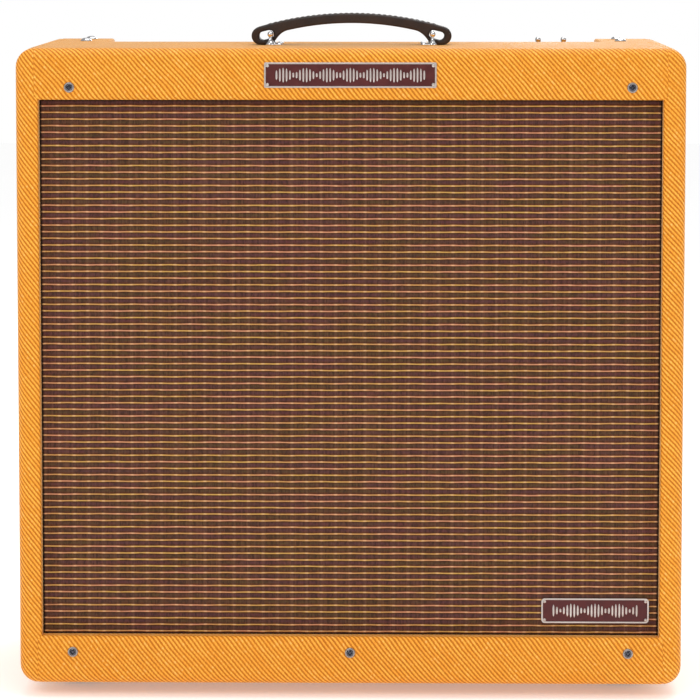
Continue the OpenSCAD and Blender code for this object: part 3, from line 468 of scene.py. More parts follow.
class Build:
    """Points and faces gathered for one mesh, each corner with its cloth coordinates."""

    def __init__(self):
        self.points, self.faces, self.corners = [], [], []

    def grid(self, rows, outward=None, around=False, turned=False):
        """Quads between rows of (point, (u, v)). They face outward at the middle of the grid."""
        base, across = len(self.points), len(rows[0])
        for row in rows:
            self.points += [Vector(p) for p, _ in row]
        cloth = [uv for row in rows for _, uv in row]
        quads = []
        for r in range(len(rows) - 1):
            for c in range(across if around else across - 1):
                d = (c + 1) % across
                quads.append((r * across + c, r * across + d, (r + 1) * across + d, (r + 1) * across + c))
        if outward is not None:
            a, b, c, _ = (self.points[base + i] for i in quads[len(quads) // 2])
            turned = (b - a).cross(c - b).dot(Vector(outward)) < 0
        for q in quads:
            q = q[::-1] if turned else q
            self.faces.append([base + i for i in q])
            self.corners.append([cloth[i] for i in q])

    def fan(self, loop, outward):
        """One flat face through a loop of (point, (u, v))."""
        points = [Vector(p) for p, _ in loop]
        face = [len(self.points) + i for i in range(len(loop))]
        cloth = [uv for _, uv in loop]
        normal = sum((p.cross(q) for p, q in zip(points, points[1:] + points[:1])), Vector((0, 0, 0)))
        if normal.dot(Vector(outward)) < 0:
            face.reverse()
            cloth.reverse()
        self.points += points
        self.faces.append(face)
        self.corners.append(cloth)

    def lathe(self, profile, steps, matrix, scale=1.0):
        """A profile of (radius, height) turned about the matrix's local Z axis. Its faces look
        outward whichever way the profile runs round its section."""
        rows = [[(matrix @ (p * scale), (r, TAU * k / steps)) for k, p in enumerate(ring(r, h, steps))]
                for r, h in profile]
        rising = sum(a[0] * b[1] - b[0] * a[1] for a, b in zip(profile, profile[1:] + profile[:1]))
        self.grid(rows, around=True, turned=rising < 0)

    def mesh(self, name, weld=0.01 * MM):
        mesh = bpy.data.meshes.new(name)
        mesh.from_pydata([tuple(p) for p in self.points], [], self.faces)
        layer = mesh.uv_layers.new(name="cloth")
        flat = [uv for face in self.corners for uv in face]
        for loop, uv in zip(layer.data, flat):
            loop.uv = uv
        bm = bmesh.new()
        bm.from_mesh(mesh)
        bmesh.ops.remove_doubles(bm, verts=bm.verts, dist=weld)
        bmesh.ops.dissolve_degenerate(bm, edges=bm.edges, dist=weld / 2)
        loose = [v for v in bm.verts if not v.link_faces]
        bmesh.ops.delete(bm, geom=loose, context="VERTS")
        bm.to_mesh(mesh)
        bm.free()
        return mesh


def turned_piece(name, profile, matrices, material, steps=48, **settings):
    """One piece holding the same turned shape at each matrix. The profile is in millimetres."""
    b = Build()
    for m in matrices:
        b.lathe(profile, steps, m, MM)
    piece(name, b.mesh(name), material, **settings)


def plate_mesh(name, loops, thick, bevel, place, steps=3):
    """A flat outline with holes, thick and with rounded edges. place maps (a, b, out) to a point.
    The first loop runs anticlockwise seen from outside, and the holes clockwise."""
    curve = bpy.data.curves.new(name, "CURVE")
    curve.dimensions = "2D"
    curve.fill_mode = "BOTH"
    curve.extrude = thick / 2 - bevel
    curve.bevel_depth = bevel
    curve.bevel_resolution = steps
    curve.offset = -bevel
    for loop in loops:
        spline = curve.splines.new("POLY")
        spline.points.add(len(loop) - 1)
        for point, (a, b) in zip(spline.points, loop):
            point.co = (a, b, 0, 1)
        spline.use_cyclic_u = True
    mesh = drawn_mesh(name, curve)
    bm = bmesh.new()
    bm.from_mesh(mesh)
    bmesh.ops.remove_doubles(bm, verts=bm.verts, dist=0.002 * MM)
    bmesh.ops.recalc_face_normals(bm, faces=bm.faces)
    for layer in list(bm.loops.layers.uv.values()):
        bm.loops.layers.uv.remove(layer)
    cloth = bm.loops.layers.uv.new("cloth")
    for face in bm.faces:
        for corner in face.loops:
            corner[cloth].uv = corner.vert.co.xy
    for v in bm.verts:
        v.co = place(*v.co)
    bm.to_mesh(mesh)
    bm.free()
    return mesh


def outline(w, h, r, steps=6, clockwise=False, centre=(0, 0), notched=False):
    """A rectangle with round corners, or notched: cut by quarter circles, as on an old label."""
    points = []
    inset = 0 if notched else r
    for k, (sx, sy) in enumerate([(1, 1), (-1, 1), (-1, -1), (1, -1)]):
        for i in range(steps + 1):
            quarters = k + 3 - i / steps if notched else k + i / steps
            a = pi / 2 * quarters
            points.append((centre[0] + sx * (w / 2 - inset) + r * cos(a),
                           centre[1] + sy * (h / 2 - inset) + r * sin(a)))
    return points[::-1] if clockwise else points


def weigh_normals(obj):
    """Keeps large flat faces flat beside their rounded edges."""
    obj.modifiers.new("flat_faces", "WEIGHTED_NORMAL").keep_sharp = True


def finish_node(name, material, bevel=0.0):
    """Gives a CAD node its material and, where asked, slightly rounded edges."""
    obj = frame["nodes"][name]
    obj.data.materials.clear()
    obj.data.materials.append(material)
    if bevel:
        weld = obj.modifiers.new("weld", "WELD")
        weld.merge_threshold = 0.005 * MM
        edge = obj.modifiers.new("soft_edges", "BEVEL")
        edge.width = bevel
        edge.segments = 2
        edge.limit_method = "ANGLE"
        edge.angle_limit = radians(40)
        edge.harden_normals = True


# ------------------------------------------------------------------ tweed covering

def side_columns():
    """Stations round a side, from the top seam to the bottom one: the centre of the rounded edge's
    tube, its outward direction and the distance along the outline."""
    high, low = FACE_H - CORNER_R, CORNER_R
    tube = CORNER_R - EDGE_R
    stations = []
    for a in spread(pi / 2, 0, 8):
        stations.append((SEAM_X + tube * cos(a), high + tube * sin(a), a, high + CORNER_R * a))
    marks = [WINDOW_HIGH + WINDOW_R, WINDOW_HIGH] + spread(WINDOW_HIGH - 4 * MM, WINDOW_LOW + 4 * MM, 24)
    for up in marks + [WINDOW_LOW, WINDOW_LOW - WINDOW_R]:
        stations.append((SEAM_X + tube, up, 0.0, up))
    for a in spread(0, -pi / 2, 8):
        stations.append((SEAM_X + tube * cos(a), low + tube * sin(a), a, low + CORNER_R * a))
    return stations


def laid(u, v, turn, pitch):
    """Cloth coordinates of a sheet cut with its stripes turned by some degrees and at a pitch in mm."""
    c, s, k = cos(radians(turn)), sin(radians(turn)), STRIPE_PITCH / (pitch * MM)
    return ((u * c - v * s) * k, (u * s + v * c) * k)


def level_z(up):
    """The height of a place on the face's outline, carried to the level back of the cabinet."""
    return BOTTOM_Z + up * cos(LEAN)


def rear_bend():
    """The rounded rear edge, as (y, how far it has come in, the cloth's length along it)."""
    return [(BACK_Y - REAR_R + on, aside, arc) for on, aside, arc in bend(REAR_R)[1:]]


def side_rows(sx):
    """The covering of one side as rows from the front seam back and round to the rear face."""
    stations = side_columns()
    reaches = [EDGE_R - SEAM_DIP * (k in (0, len(stations) - 1)) for k in range(len(stations))]
    rows = []
    for f in (0, 0.06, 0.14, 0.5, 1):
        row = []
        for x, up, _, _ in stations:
            seam = not WINDOW_LOW - WINDOW_R <= up <= WINDOW_HIGH + WINDOW_R
            dip = SEAM_DIP * (1 - f / 0.14) ** 2 if seam and f < 0.14 else 0
            flat_x = SEAM_X + f * (x - SEAM_X)
            row.append((lean_point(sx * flat_x, dip, up), (sx * flat_x, up)))
        rows.append(row)
    turn_u = SEAM_X + (CORNER_R - EDGE_R) + EDGE_R * pi / 2
    for on, depth, arc in bend(EDGE_R, 8)[1:]:
        row = []
        for (x, up, a, _), reach in zip(stations, reaches):
            out = on - (EDGE_R - reach)
            point = lean_point(sx * (x + out * cos(a)), depth, up + out * sin(a))
            row.append((point, (sx * (x + arc * cos(a)), up + arc * sin(a))))
        rows.append(row)
    edge = rows[-1]
    length = BACK_Y - REAR_R - min(p.y for p, _ in edge)
    ends = [(x + out * cos(a), up + out * sin(a), a, along)
            for (x, up, a, along), out in zip(stations, reaches)]
    for t in (0.03, 0.07, 0.12, 0.18, 0.25, 0.33, 0.42, 0.55, 0.7, 1):
        row = []
        share = min(1, t / 0.42)
        share = share * share * (3 - 2 * share)
        for (x, up, _, along), (start, (edge_u, edge_v)) in zip(ends, edge):
            run = t * (BACK_Y - REAR_R - start.y)
            z = start.z + min(1, t / 0.12) * (level_z(up) - start.z)
            u = (1 - share) * abs(edge_u) + share * turn_u + run
            row.append((Vector((sx * x, start.y + run, z)), (sx * u, (1 - share) * edge_v + share * along)))
        rows.append(row)
    for y, inset, arc in rear_bend():
        rows.append([(Vector((sx * (x - inset * cos(a)), y, level_z(up) - inset * sin(a))),
                      (sx * (turn_u + length + arc), along)) for x, up, a, along in ends])
    inner_x = BOARD_IN_X + INNER_R
    inner_low, inner_high = DECK_Z - INNER_R, ROOF_Z + INNER_R
    last = rows[-1]
    for t in (0.15, 1):
        row = []
        for p, (u, v) in last:
            inner = Vector((sx * inner_x, BACK_Y, min(max(p.z, inner_low), inner_high)))
            q = p.lerp(inner, t)
            row.append((q, (u + sx * (q - p).length, v)))
        rows.append(row)
    return rows


def side_tweed(sx, name, node, turn, pitch):
    """One side's covering, cut with its stripes turned a little from those of the top."""
    b = Build()
    b.grid(side_rows(sx), outward=(sx, 0, 0))
    # the fold round the window's edge, down to the grille cloth
    heights = [up for _, up, a, _ in side_columns()
               if WINDOW_LOW - WINDOW_R <= up <= WINDOW_HIGH + WINDOW_R]
    edge_x = WINDOW_X + WINDOW_R
    section = [(SEAM_X, 0, SEAM_X)]
    section += [(edge_x - on, aside, edge_x - arc) for on, aside, arc in bend(WINDOW_R)]
    section.append((WINDOW_X, CLOTH_DEPTH - 0.05 * MM, WINDOW_X - CLOTH_DEPTH + WINDOW_R * 0.43))
    rows = [[(lean_point(sx * x, depth, up), (sx * u, up)) for up in heights] for x, depth, u in section]
    b.grid(rows, outward=(-sx, -1, 0))
    # the fold round the rear edge, into the cabinet
    fold_u = HALF_W + 290 * MM
    stretch = 1 + FOLD_PROUD / INNER_R
    fold = [(BOARD_IN_X + INNER_R - on * stretch, BACK_Y - aside, fold_u + arc)
            for on, aside, arc in bend(INNER_R, 4)]
    fold.append((BOARD_IN_X - FOLD_PROUD, BACK_Y - FOLD_DEEP, fold_u + FOLD_DEEP))
    rows = [[(Vector((sx * x, y, z)), (sx * u, z - BOTTOM_Z)) for z in spread(DECK_Z, ROOF_Z - 0.1 * MM, 20)]
            for x, y, u in fold]
    b.grid(rows, outward=(-sx, 0, 0))
    b.corners = [[laid(u, v, turn, pitch) for u, v in face] for face in b.corners]
    obj = piece(name, b.mesh(name), TWEED, slot="tweed", replaces=[node], angle=50)
    "side_board_" + node.split("_")[1]


def seam_columns(extra=()):
    """Stations across the top or the bottom sheet: (x, how far it sinks at the seam)."""
    xs = {-SEAM_X: SEAM_DIP, SEAM_X: SEAM_DIP}
    for s in (-1, 1):
        xs[s * (SEAM_X - 0.35 * MM)] = SEAM_DIP * 0.3
        xs[s * (SEAM_X - 0.9 * MM)] = 0
        for x in extra:
            xs[s * x] = 0
    for x in spread(-0.27, 0.27, 30):
        xs[x] = 0
    return sorted(xs.items())


def level_rows(side, columns, y_end):
    """The top (side 1) or bottom (-1) sheet as rows from the grille, over the front edge and back."""
    edge = FACE_H if side > 0 else 0.0
    window = WINDOW_HIGH if side > 0 else WINDOW_LOW
    section = [(CLOTH_DEPTH - 0.05 * MM, window, window - side * (CLOTH_DEPTH - WINDOW_R * 0.43))]
    for on, aside, arc in bend(WINDOW_R):
        section.append((WINDOW_R - on, window + side * aside, window + side * arc))
    start = len(section)
    for t in (0.3, 0.6, 1):
        up = window + side * WINDOW_R + t * (edge - side * (EDGE_R + WINDOW_R) - window)
        section.append((0, up, up))
    flat_end = edge - side * EDGE_R
    for on, aside, arc in bend(EDGE_R, 8)[1:]:
        section.append((aside, flat_end + side * on, flat_end + side * arc))
    rows = []
    for depth, up, v in section:
        row = []
        for x, sunk in columns:
            lift = 1 if depth > EDGE_R * 0.3 and len(rows) > start else 0
            row.append((lean_point(x, depth + sunk * (1 - lift), up - side * sunk * lift), (x, v)))
        rows.append(row)
    first_y = rows[-1][0][0].y
    first_z = rows[-1][len(columns) // 2][0].z
    v0 = rows[-1][0][1][1]
    level = TOP_Z if side > 0 else BOTTOM_Z
    for t in (0.1, 0.3, 0.6, 1):
        y = first_y + t * (y_end - first_y)
        z = first_z + min(1, t / 0.1) * (level - first_z)
        v = v0 + side * (y - first_y)
        rows.append([(Vector((x, y, z - side * sunk)), (x, v)) for x, sunk in columns])
    return rows


def top_tweed():
    b = Build()
    lip = WINDOW_R
    wall_x = RECESS_X - FOLD_PROUD
    wall_y = RECESS_Y + FOLD_PROUD
    ear_x = wall_x + lip
    ear_y = wall_y - lip
    columns = seam_columns([ear_x])
    rows = level_rows(1, columns, ear_y)
    b.grid(rows, outward=(0, 0, 1))
    v0 = rows[-1][0][1][1]
    # down the front wall of the recess
    middle = [(x, sunk) for x, sunk in columns if abs(x) <= ear_x + 1e-6]
    drop = [(ear_y + on, TOP_Z - aside, v0 + arc) for on, aside, arc in bend(lip)]
    floor_z = ROOF_Z + 0.4 * MM
    drop.append((wall_y, floor_z, drop[-1][2] + TOP_Z - lip - floor_z))
    b.grid([[(Vector((x, y, z)), (x, v)) for x, _ in middle] for y, z, v in drop], outward=(0, 1, 1))
    # the two ears beside the recess, with their rounded rear ends
    for sx in (-1, 1):
        profile = [(abs(x), TOP_Z - sunk, (0, 1), x) for x, sunk in columns if x * sx >= ear_x - 1e-6]
        profile.sort(key=lambda p: -p[0])
        for on, aside, arc in bend(lip)[1:]:
            profile.append((ear_x - on, TOP_Z - aside, (-on / lip, 1 - aside / lip), sx * (ear_x - arc)))
        profile.append((wall_x, floor_z, (-1, 0), sx * (ear_x - lip * 1.57 - (TOP_Z - lip - floor_z))))
        path = [(y, 0) for y in spread(ear_y, BACK_Y - REAR_R, 4)]
        path += [(y, inset) for y, inset, _ in rear_bend()]
        path.append((BACK_Y, REAR_R + 0.3 * MM))
        rings = []
        for y, inset in path:
            rings.append([(Vector((sx * (x - nx * inset), y, max(z - nz * inset, floor_z))),
                           (u, v0 + y - ear_y + inset)) for x, z, (nx, nz), u in profile])
        b.grid(rings, outward=(0, 0, 1))
        foot = [(Vector((sx * (BOARD_IN_X + INNER_R), BACK_Y, ROOF_Z + 0.1 * MM)),
                 (sx * BOARD_IN_X, rings[-1][0][1][1] + 16 * MM))]
        b.fan(rings[-1] + foot, outward=(0, 1, 0))
    obj = piece("tweed_top_sheet", b.mesh("tweed_top_sheet"), TWEED, slot="tweed", replaces=["tweed_top"],
                angle=50)


def bottom_tweed():
    b = Build()
    columns = seam_columns()
    rows = level_rows(-1, columns, BACK_Y - REAR_R)
    v = rows[-1][0][1][1]
    for y, inset, arc in rear_bend():
        rows.append([(Vector((x, y, BOTTOM_Z + inset)), (x, v - arc)) for x, _ in columns])
    # up the rear edge and over it, into the cabinet
    inner_z = DECK_Z - INNER_R
    limit = BOARD_IN_X + INNER_R
    section = [(z, BACK_Y, v - (z - BOTTOM_Z)) for z in (BOTTOM_Z + REAR_R + 0.5 * MM, inner_z)]
    stretch = 1 + FOLD_PROUD / INNER_R
    for on, aside, arc in bend(INNER_R, 4)[1:]:
        section.append((inner_z + on * stretch, BACK_Y - aside, v - (inner_z - BOTTOM_Z) - arc))
    section.append((DECK_Z + FOLD_PROUD, BACK_Y - FOLD_DEEP, v - 35 * MM))
    for z, y, along in section:
        rows.append([(Vector((max(-limit, min(limit, x)), y, z)), (x, along)) for x, _ in columns])
    b.grid(rows, outward=(0, 0, -1))
    b.corners = [[laid(u, v, 1.8, 3.21) for u, v in face] for face in b.corners]
    obj = piece("tweed_bottom_sheet", b.mesh("tweed_bottom_sheet"), TWEED, slot="tweed",
                replaces=["tweed_bottom"], angle=50)


def back_panel(node, window=None):
    """A back panel wrapped in tweed, with its window where it has one."""
    low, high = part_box(node)
    w, h = high.x - low.x, high.z - low.z
    cx, cz = (low.x + high.x) / 2, (low.z + high.z) / 2
    loops = [outline(w, h, 2 * MM, 4)]
    if window:
        hole_w, hole_z0, hole_z1 = window
        hole_z1 = min(hole_z1, high.z)
        loops.append(outline(hole_w, hole_z1 - hole_z0, 2.5 * MM, 4, True,
                             (0, (hole_z0 + hole_z1) / 2 - cz)))
    mid_y, thick = (low.y + high.y) / 2, high.y - low.y
    mesh = plate_mesh(node + "_cover", loops, thick, 2.2 * MM,
                      lambda a, c, out: (cx - a, mid_y + out, cz + c))
    obj = piece(node + "_cover", mesh, TWEED, slot="tweed", replaces=[node])
    weigh_normals(obj)


side_tweed(1, "tweed_right_sheet", "tweed_right", -1.5, 3.15)
side_tweed(-1, "tweed_left_sheet", "tweed_left", 4.0, 3.10)
top_tweed()
bottom_tweed()
back_panel("upper_back_panel", (336 * MM, 504 * MM, 552 * MM))
back_panel("lower_back_panel")


# ------------------------------------------------------------------ grille

CORD_ROWS = 81
CORD_LOW = WINDOW_LOW + 2.6 * MM
CORD_PITCH = (WINDOW_HIGH - 5.4 * MM - CORD_LOW) / (CORD_ROWS - 1)


def grille():
    rng = random.Random(11)
    low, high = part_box("grille_cloth")
    ground = Build()
    rows = []
    for i in range(2 * CORD_ROWS + 4):
        up = CORD_LOW + (i / 2 - 1) * CORD_PITCH
        sink = 0.25 * MM if i % 2 else 0
        rows.append([(lean_point(x, CLOTH_DEPTH + sink, up), (x, i / 2 - 0.5))
                     for x in spread(low.x, high.x, 4)])
    ground.grid(rows, outward=(0, -1, 0))
    cloth = piece("grille_ground", ground.mesh("grille_ground"), GRILLE, slot="grille",
                  replaces=["grille_cloth"], angle=80)
    cords = Build()
    stations = spread(-WINDOW_X - 0.5 * MM, WINDOW_X + 0.5 * MM, 132)
    for i in range(CORD_ROWS):
        up = CORD_LOW + i * CORD_PITCH
        phases = [rng.uniform(0, TAU) for _ in range(2)]
        rings = []
        for x in stations:
            swell = cos(TAU * x / KNOT_PITCH)
            shift = (0.11 * sin(TAU * x / (47 * MM) + phases[0])
                     + 0.06 * sin(TAU * x / (21 * MM) + phases[1])) * MM
            proud, wide = (0.42 + 0.08 * swell) * MM, (0.66 + 0.08 * swell) * MM
            rings.append([(lean_point(x, CLOTH_DEPTH - 0.15 * MM - proud * p.y, up + shift + wide * p.x),
                           (x, i + 0.5)) for p in ring(1, 0, 6)])
        cords.grid(rings, around=True)
    cord_piece = piece("grille_cords", cords.mesh("grille_cords", 0.001 * MM), CORD, slot="grille", angle=180)


grille()


# ------------------------------------------------------------------ plates and front screws

def plate(name, node, matrix, w, h, bars, corner):
    """A maroon plate: a satin rim, an enamelled field and a row of upright bars for a motif."""
    rim, thick = 1.5 * MM, 1.5 * MM
    to_world = lambda lift: lambda a, b, out: matrix @ Vector((a, b, out + lift))
    field = plate_mesh(name + "_field", [outline(w - rim, h - rim, corner * 0.6)], 1.0 * MM, 0.1 * MM,
                       to_world(0.5 * MM))
    weigh_normals(piece(name + "_field", field, ENAMEL, slot="plate", replaces=[node]))
    frame_loops = [outline(w, h, corner), outline(w - 2 * rim, h - 2 * rim, 2.6 * MM, 4, True, notched=True)]
    rim_mesh = plate_mesh(name + "_rim", frame_loops, thick, 0.3 * MM, to_world(thick / 2))
    weigh_normals(piece(name + "_rim", rim_mesh, SATIN, slot="plate"))
    step = (w - 22 * MM) / (2 * bars)
    b = Build()
    for i in range(-bars, bars + 1):
        tall = (h / 2 - 4.6 * MM) * (0.28 + 0.72 * abs(cos(i * radians(27))) ** 1.3)
        rings = []
        for t in spread(-1, 1, 14):
            half = 0.95 * MM * sqrt(max(0.0, 1 - abs(t) ** 3.2))
            up = 1.0 * MM + 0.55 * MM * sqrt(max(0.0, 1 - abs(t) ** 4))
            rings.append(bare(matrix @ Vector((i * step + share * half, t * tall, z))
                              for share, z in ((-1, 0.95 * MM), (-0.55, up), (0.55, up), (1, 0.95 * MM))))
        b.grid(rings, around=True)
    piece(name + "_bars", b.mesh(name + "_bars", 0.002 * MM), SATIN, slot="plate", angle=60)


NAME_W, NAME_H = 153 * MM, 22.5 * MM
BADGE_W, BADGE_H = 97 * MM, 22.6 * MM
name_matrix = lean_matrix(0, 0, FACE_H - 24 * MM)
badge_matrix = lean_matrix(221 * MM, 12.2 * MM, 66.5 * MM)
plate("nameplate", "nameplate", name_matrix, NAME_W, NAME_H, 22, 1.2 * MM)
plate("grille_badge", "grille_badge", badge_matrix, BADGE_W, BADGE_H, 12, 3.2 * MM)

RIVET = [(0, 2.3), (0.55, 2.22), (1.05, 1.98), (1.35, 1.62), (1.4, 1.45), (1.4, 0.4), (0, 0.4)]
rivet_spots = []
for matrix, w, h in [(name_matrix, NAME_W, NAME_H), (badge_matrix, BADGE_W, BADGE_H)]:
    rivet_spots += [matrix @ at(sx * (w / 2 - 3 * MM), sy * (h / 2 - 3 * MM), 0) for sx, sy in CORNERS]
turned_piece("badge_rivet_heads", RIVET, rivet_spots, SATIN, 20, slot="chrome", replaces=["badge_rivets"])


def screw_heads(name, matrices, radius, dome, skirt, material, **settings):
    """Domed heads with a cross recess, their seats at the matrices' origins. Millimetres."""
    b = Build()
    arm, reach, rings, steps = 0.16 * radius, 0.62 * radius, 14, 48
    for m in matrices:
        rows = []
        for r in spread(0, radius, rings):
            row = []
            for p in ring(r, skirt + dome * (cos(asin(r / radius * 0.96)) - 0.28), steps):
                slot = min(abs(p.x), abs(p.y))
                depth = max(0.0, 1 - max(0.0, slot - arm) / (0.12 * radius))
                depth *= max(0.0, min(1.0, (reach - r) / (0.16 * radius)))
                p.z -= depth * (0.9 * dome + 0.3)
                row.append(m @ (p * MM))
            rows.append(bare(row))
        rows.append(bare(m @ (p * MM) for p in ring(radius, 0, steps)))
        b.grid(rows, around=True, turned=True)
    piece(name, b.mesh(name, 0.001 * MM), material, angle=50, **settings)


front_spots = [(-250, FACE_H / MM - 35), (250, FACE_H / MM - 35), (-250, 29.5), (0, 29.5), (250, 29.5)]
front_seats = [lean_matrix(x * MM, 0, up * MM) for x, up in front_spots]
CUP = [(2.3, 0.2), (2.3, 0.7), (3.1, 1.15), (3.5, 1.32), (3.9, 1.3), (4.4, 0.95), (4.7, 0.45), (4.75, 0.05),
       (4.2, 0.0), (2.3, 0.2)]
turned_piece("front_cup_washers", CUP, front_seats, AGED_NICKEL, 40, slot="chrome",
             replaces=["front_screw_washers"])
screw_heads("front_screw_heads", [m @ at(0, 0, 0.9 * MM) for m in front_seats],
            3.4, 1.7, 0.2, DARK_STEEL, slot="chrome", replaces=["front_screws"])

BACK_SCREW_ZS = (50, 141, 218, 446, 490, 548)
back_face_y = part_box("upper_back_panel")[1].y
back_turn = Matrix(((-1, 0, 0, 0), (0, 0, 1, 0), (0, 1, 0, 0), (0, 0, 0, 1)))
back_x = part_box("back_panel_screws")[1].x - 4.2 * MM
back_seats = [at(sx * back_x, back_face_y, z * MM) @ back_turn for sx in (-1, 1) for z in BACK_SCREW_ZS]
turned_piece("back_cup_washers", [(r * 0.98, h) for r, h in CUP], back_seats, STEEL, 36, slot="steel",
             replaces=["back_panel_screws"])
screw_heads("back_screw_heads", [m @ at(0, 0, 0.8 * MM) for m in back_seats],
            3.2, 1.5, 0.1, STEEL, slot="steel")


# ------------------------------------------------------------------ handle

def arc_points(cx, cy, r, a0, a1, n):
    return [(cx + r * cos(a), cy + r * sin(a)) for a in spread(a0, a1, n)]


def handle():
    """A padded strap with a folded loop at each end, stitched along both edges."""
    low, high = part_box("handle_strap")
    z0 = low.z
    mid_y, width = (low.y + high.y) / 2, high.y - low.y
    crown, belly, belly_r, end_r = 28.0, 19.6, 260.0, 8.0
    end_x = (high.x - low.x) / 2 / MM - end_r
    # the crown's arc runs on into the end loop without a corner
    crown_r = (end_x ** 2 + (crown - end_r) ** 2 - end_r ** 2) / (2 * (crown - 2 * end_r))
    meet = acos(end_x / (crown_r - end_r))

    def top_z(x):
        return crown - crown_r + sqrt(crown_r ** 2 - x * x)

    def under_z(x):
        return belly - belly_r + sqrt(belly_r ** 2 - x * x)

    right_top = [(x, top_z(x)) for x in spread(0, end_x + end_r * cos(meet), 24)]
    loop_end = arc_points(end_x, end_r, end_r, meet, -pi / 2, 14)[1:]
    heel_x = 58.0
    heel = [(73.6, 0.05), (72.3, 0.3)]
    for t in spread(1, 0, 8)[:-1]:
        heel.append(((1 - t) ** 2 * heel_x + 2 * t * (1 - t) * 65.5 + t * t * 71.4,
                     (1 - t) ** 2 * under_z(heel_x) + 2 * t * (1 - t) * 11.3 + t * t))
    under = [(x, under_z(x)) for x in spread(heel_x, 0, 16)]
    half = right_top + loop_end + heel + under
    whole = half + [(-x, z) for x, z in half[::-1][1:-1]]
    whole = [(x * MM, z * MM) for x, z in whole][::-1]
    eyes = []
    for s in (-1, 1):
        wide = arc_points(80.5, 7.8, 4.0, radians(-100), radians(78), 10)
        narrow = arc_points(74.5, 9.3, 3.9, radians(78), radians(260), 10)
        eye = [(s * x * MM, z * MM) for x, z in wide + narrow]
        eyes.append(eye[::-1] if s > 0 else eye)
    mesh = plate_mesh("handle_leather_strap", [whole] + eyes, width, 1.7 * MM,
                      lambda a, b, out: (a, mid_y - out, z0 + b), 5)
    strap = piece("handle_leather_strap", mesh, LEATHER, body="handle", slot="handle",
                  replaces=["handle_strap"], angle=60)
    weigh_normals(strap)
    # stitches along the top, near its front and rear edges
    b = Build()
    for sy in (-1, 1):
        for i in range(-15, 16):
            x = i * 5.0
            slope = -x / sqrt(crown_r ** 2 - x * x)
            tangent = Vector((1, 0, slope)).normalized()
            normal = Vector((-slope, 0, 1)).normalized()
            centre = Vector((x * MM, mid_y + sy * (width / 2 - 3.4 * MM), z0 + top_z(x) * MM))
            rings = []
            for t in spread(-1, 1, 6):
                r = 0.45 * MM * sqrt(max(0.0, 1 - t * t)) + 0.02 * MM
                rings.append(bare(centre + tangent * (t * 1.75 * MM) + Vector((0, 1, 0)) * p.x + normal * p.y
                                  for p in ring(r, 0, 6)))
            b.grid(rings, around=True)
    piece("handle_stitches", b.mesh("handle_stitches", 0.0005 * MM), THREAD, body="handle", slot="handle",
          angle=180)


handle()

saddle_low, saddle_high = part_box("handle_saddles")
saddle_y = (saddle_low.y + saddle_high.y) / 2
LEG = [(0, 0), (4.1, 0), (4.25, 0.5), (4.1, 1.4), (3.6, 2.3), (2.9, 3.2), (2.1, 4.4), (1.6, 5.7),
       (1.35, 7.0), (1.4, 7.7), (2.0, 8.3), (2.45, 9.2), (2.55, 10.1), (2.35, 11.0), (1.75, 11.9),
       (0.95, 12.4), (0, 12.55)]


def saddles():
    bar_x, tab_x, screw_x, leg_y = 73.6 * MM, 69.6 * MM, 65.5 * MM, 18 * MM
    b = Build()
    for sx in (-1, 1):
        for sy in (-1, 1):
            b.lathe(LEG, 36, at(sx * bar_x, saddle_y + sy * leg_y, TOP_Z), MM)
        bar = at(sx * bar_x, saddle_y + leg_y, TOP_Z + 10 * MM) @ Matrix.Rotation(radians(90), 4, "X")
        b.lathe([(0, 0), (1.9, 0), (1.9, 36), (0, 36)], 24, bar, MM)
    piece("saddle_legs", b.mesh("saddle_legs"), CHROME, slot="chrome", replaces=["handle_saddles"])
    for sx, sy in CORNERS:
        x, y = sx * tab_x, saddle_y + sy * leg_y
        mesh = plate_mesh("saddle_tab", [outline(14 * MM, 7.2 * MM, 3.5 * MM)], 1.2 * MM, 0.35 * MM,
                          lambda a, c, out, x=x, y=y: (x + a, y + c, TOP_Z + 0.6 * MM + out))
        side = ("left", "right")[sx > 0] + ("_front", "_rear")[sy > 0]
        piece("saddle_tab_" + side, mesh, CHROME, slot="chrome")
    seats = [at(sx * screw_x, saddle_y + sy * leg_y, TOP_Z + 1.2 * MM) for sx, sy in CORNERS]
    screw_heads("saddle_screw_heads", seats, 2.8, 1.5, 0.1, CHROME, slot="chrome",
                replaces=["handle_screws"])


saddles()


# ------------------------------------------------------------------ controls

finish_node("control_panel", PANEL, 0.15 * MM)
KNOB_XS = {j["child"]: j["pos_m"][0] for j in frame["joints"]
           if j["type"] == "hinge" and j["axis"] == [0, 0, 1]}
SKIRT = [(8.6, 0.8), (10.1, 0.8), (10.5, 1.3), (10.5, 2.6), (10.2, 3.6), (9.6, 4.6), (8.6, 5.4), (0, 5.8),
         (0, 4.6), (8.6, 4.6), (8.6, 0.8)]


def pointer_outline(body_r, reach, tip_r):
    """A round body drawn out to a blunt point towards the front, anticlockwise."""
    tangent = acos((body_r - tip_r) / reach)
    start = -pi / 2 + tangent
    body = arc_points(0, 0, body_r, start, start + TAU - 2 * tangent, 28)
    tip = arc_points(0, -reach, tip_r, -pi / 2 - tangent, -pi / 2 + tangent, 8)
    return [(x * MM, y * MM) for x, y in body + tip]


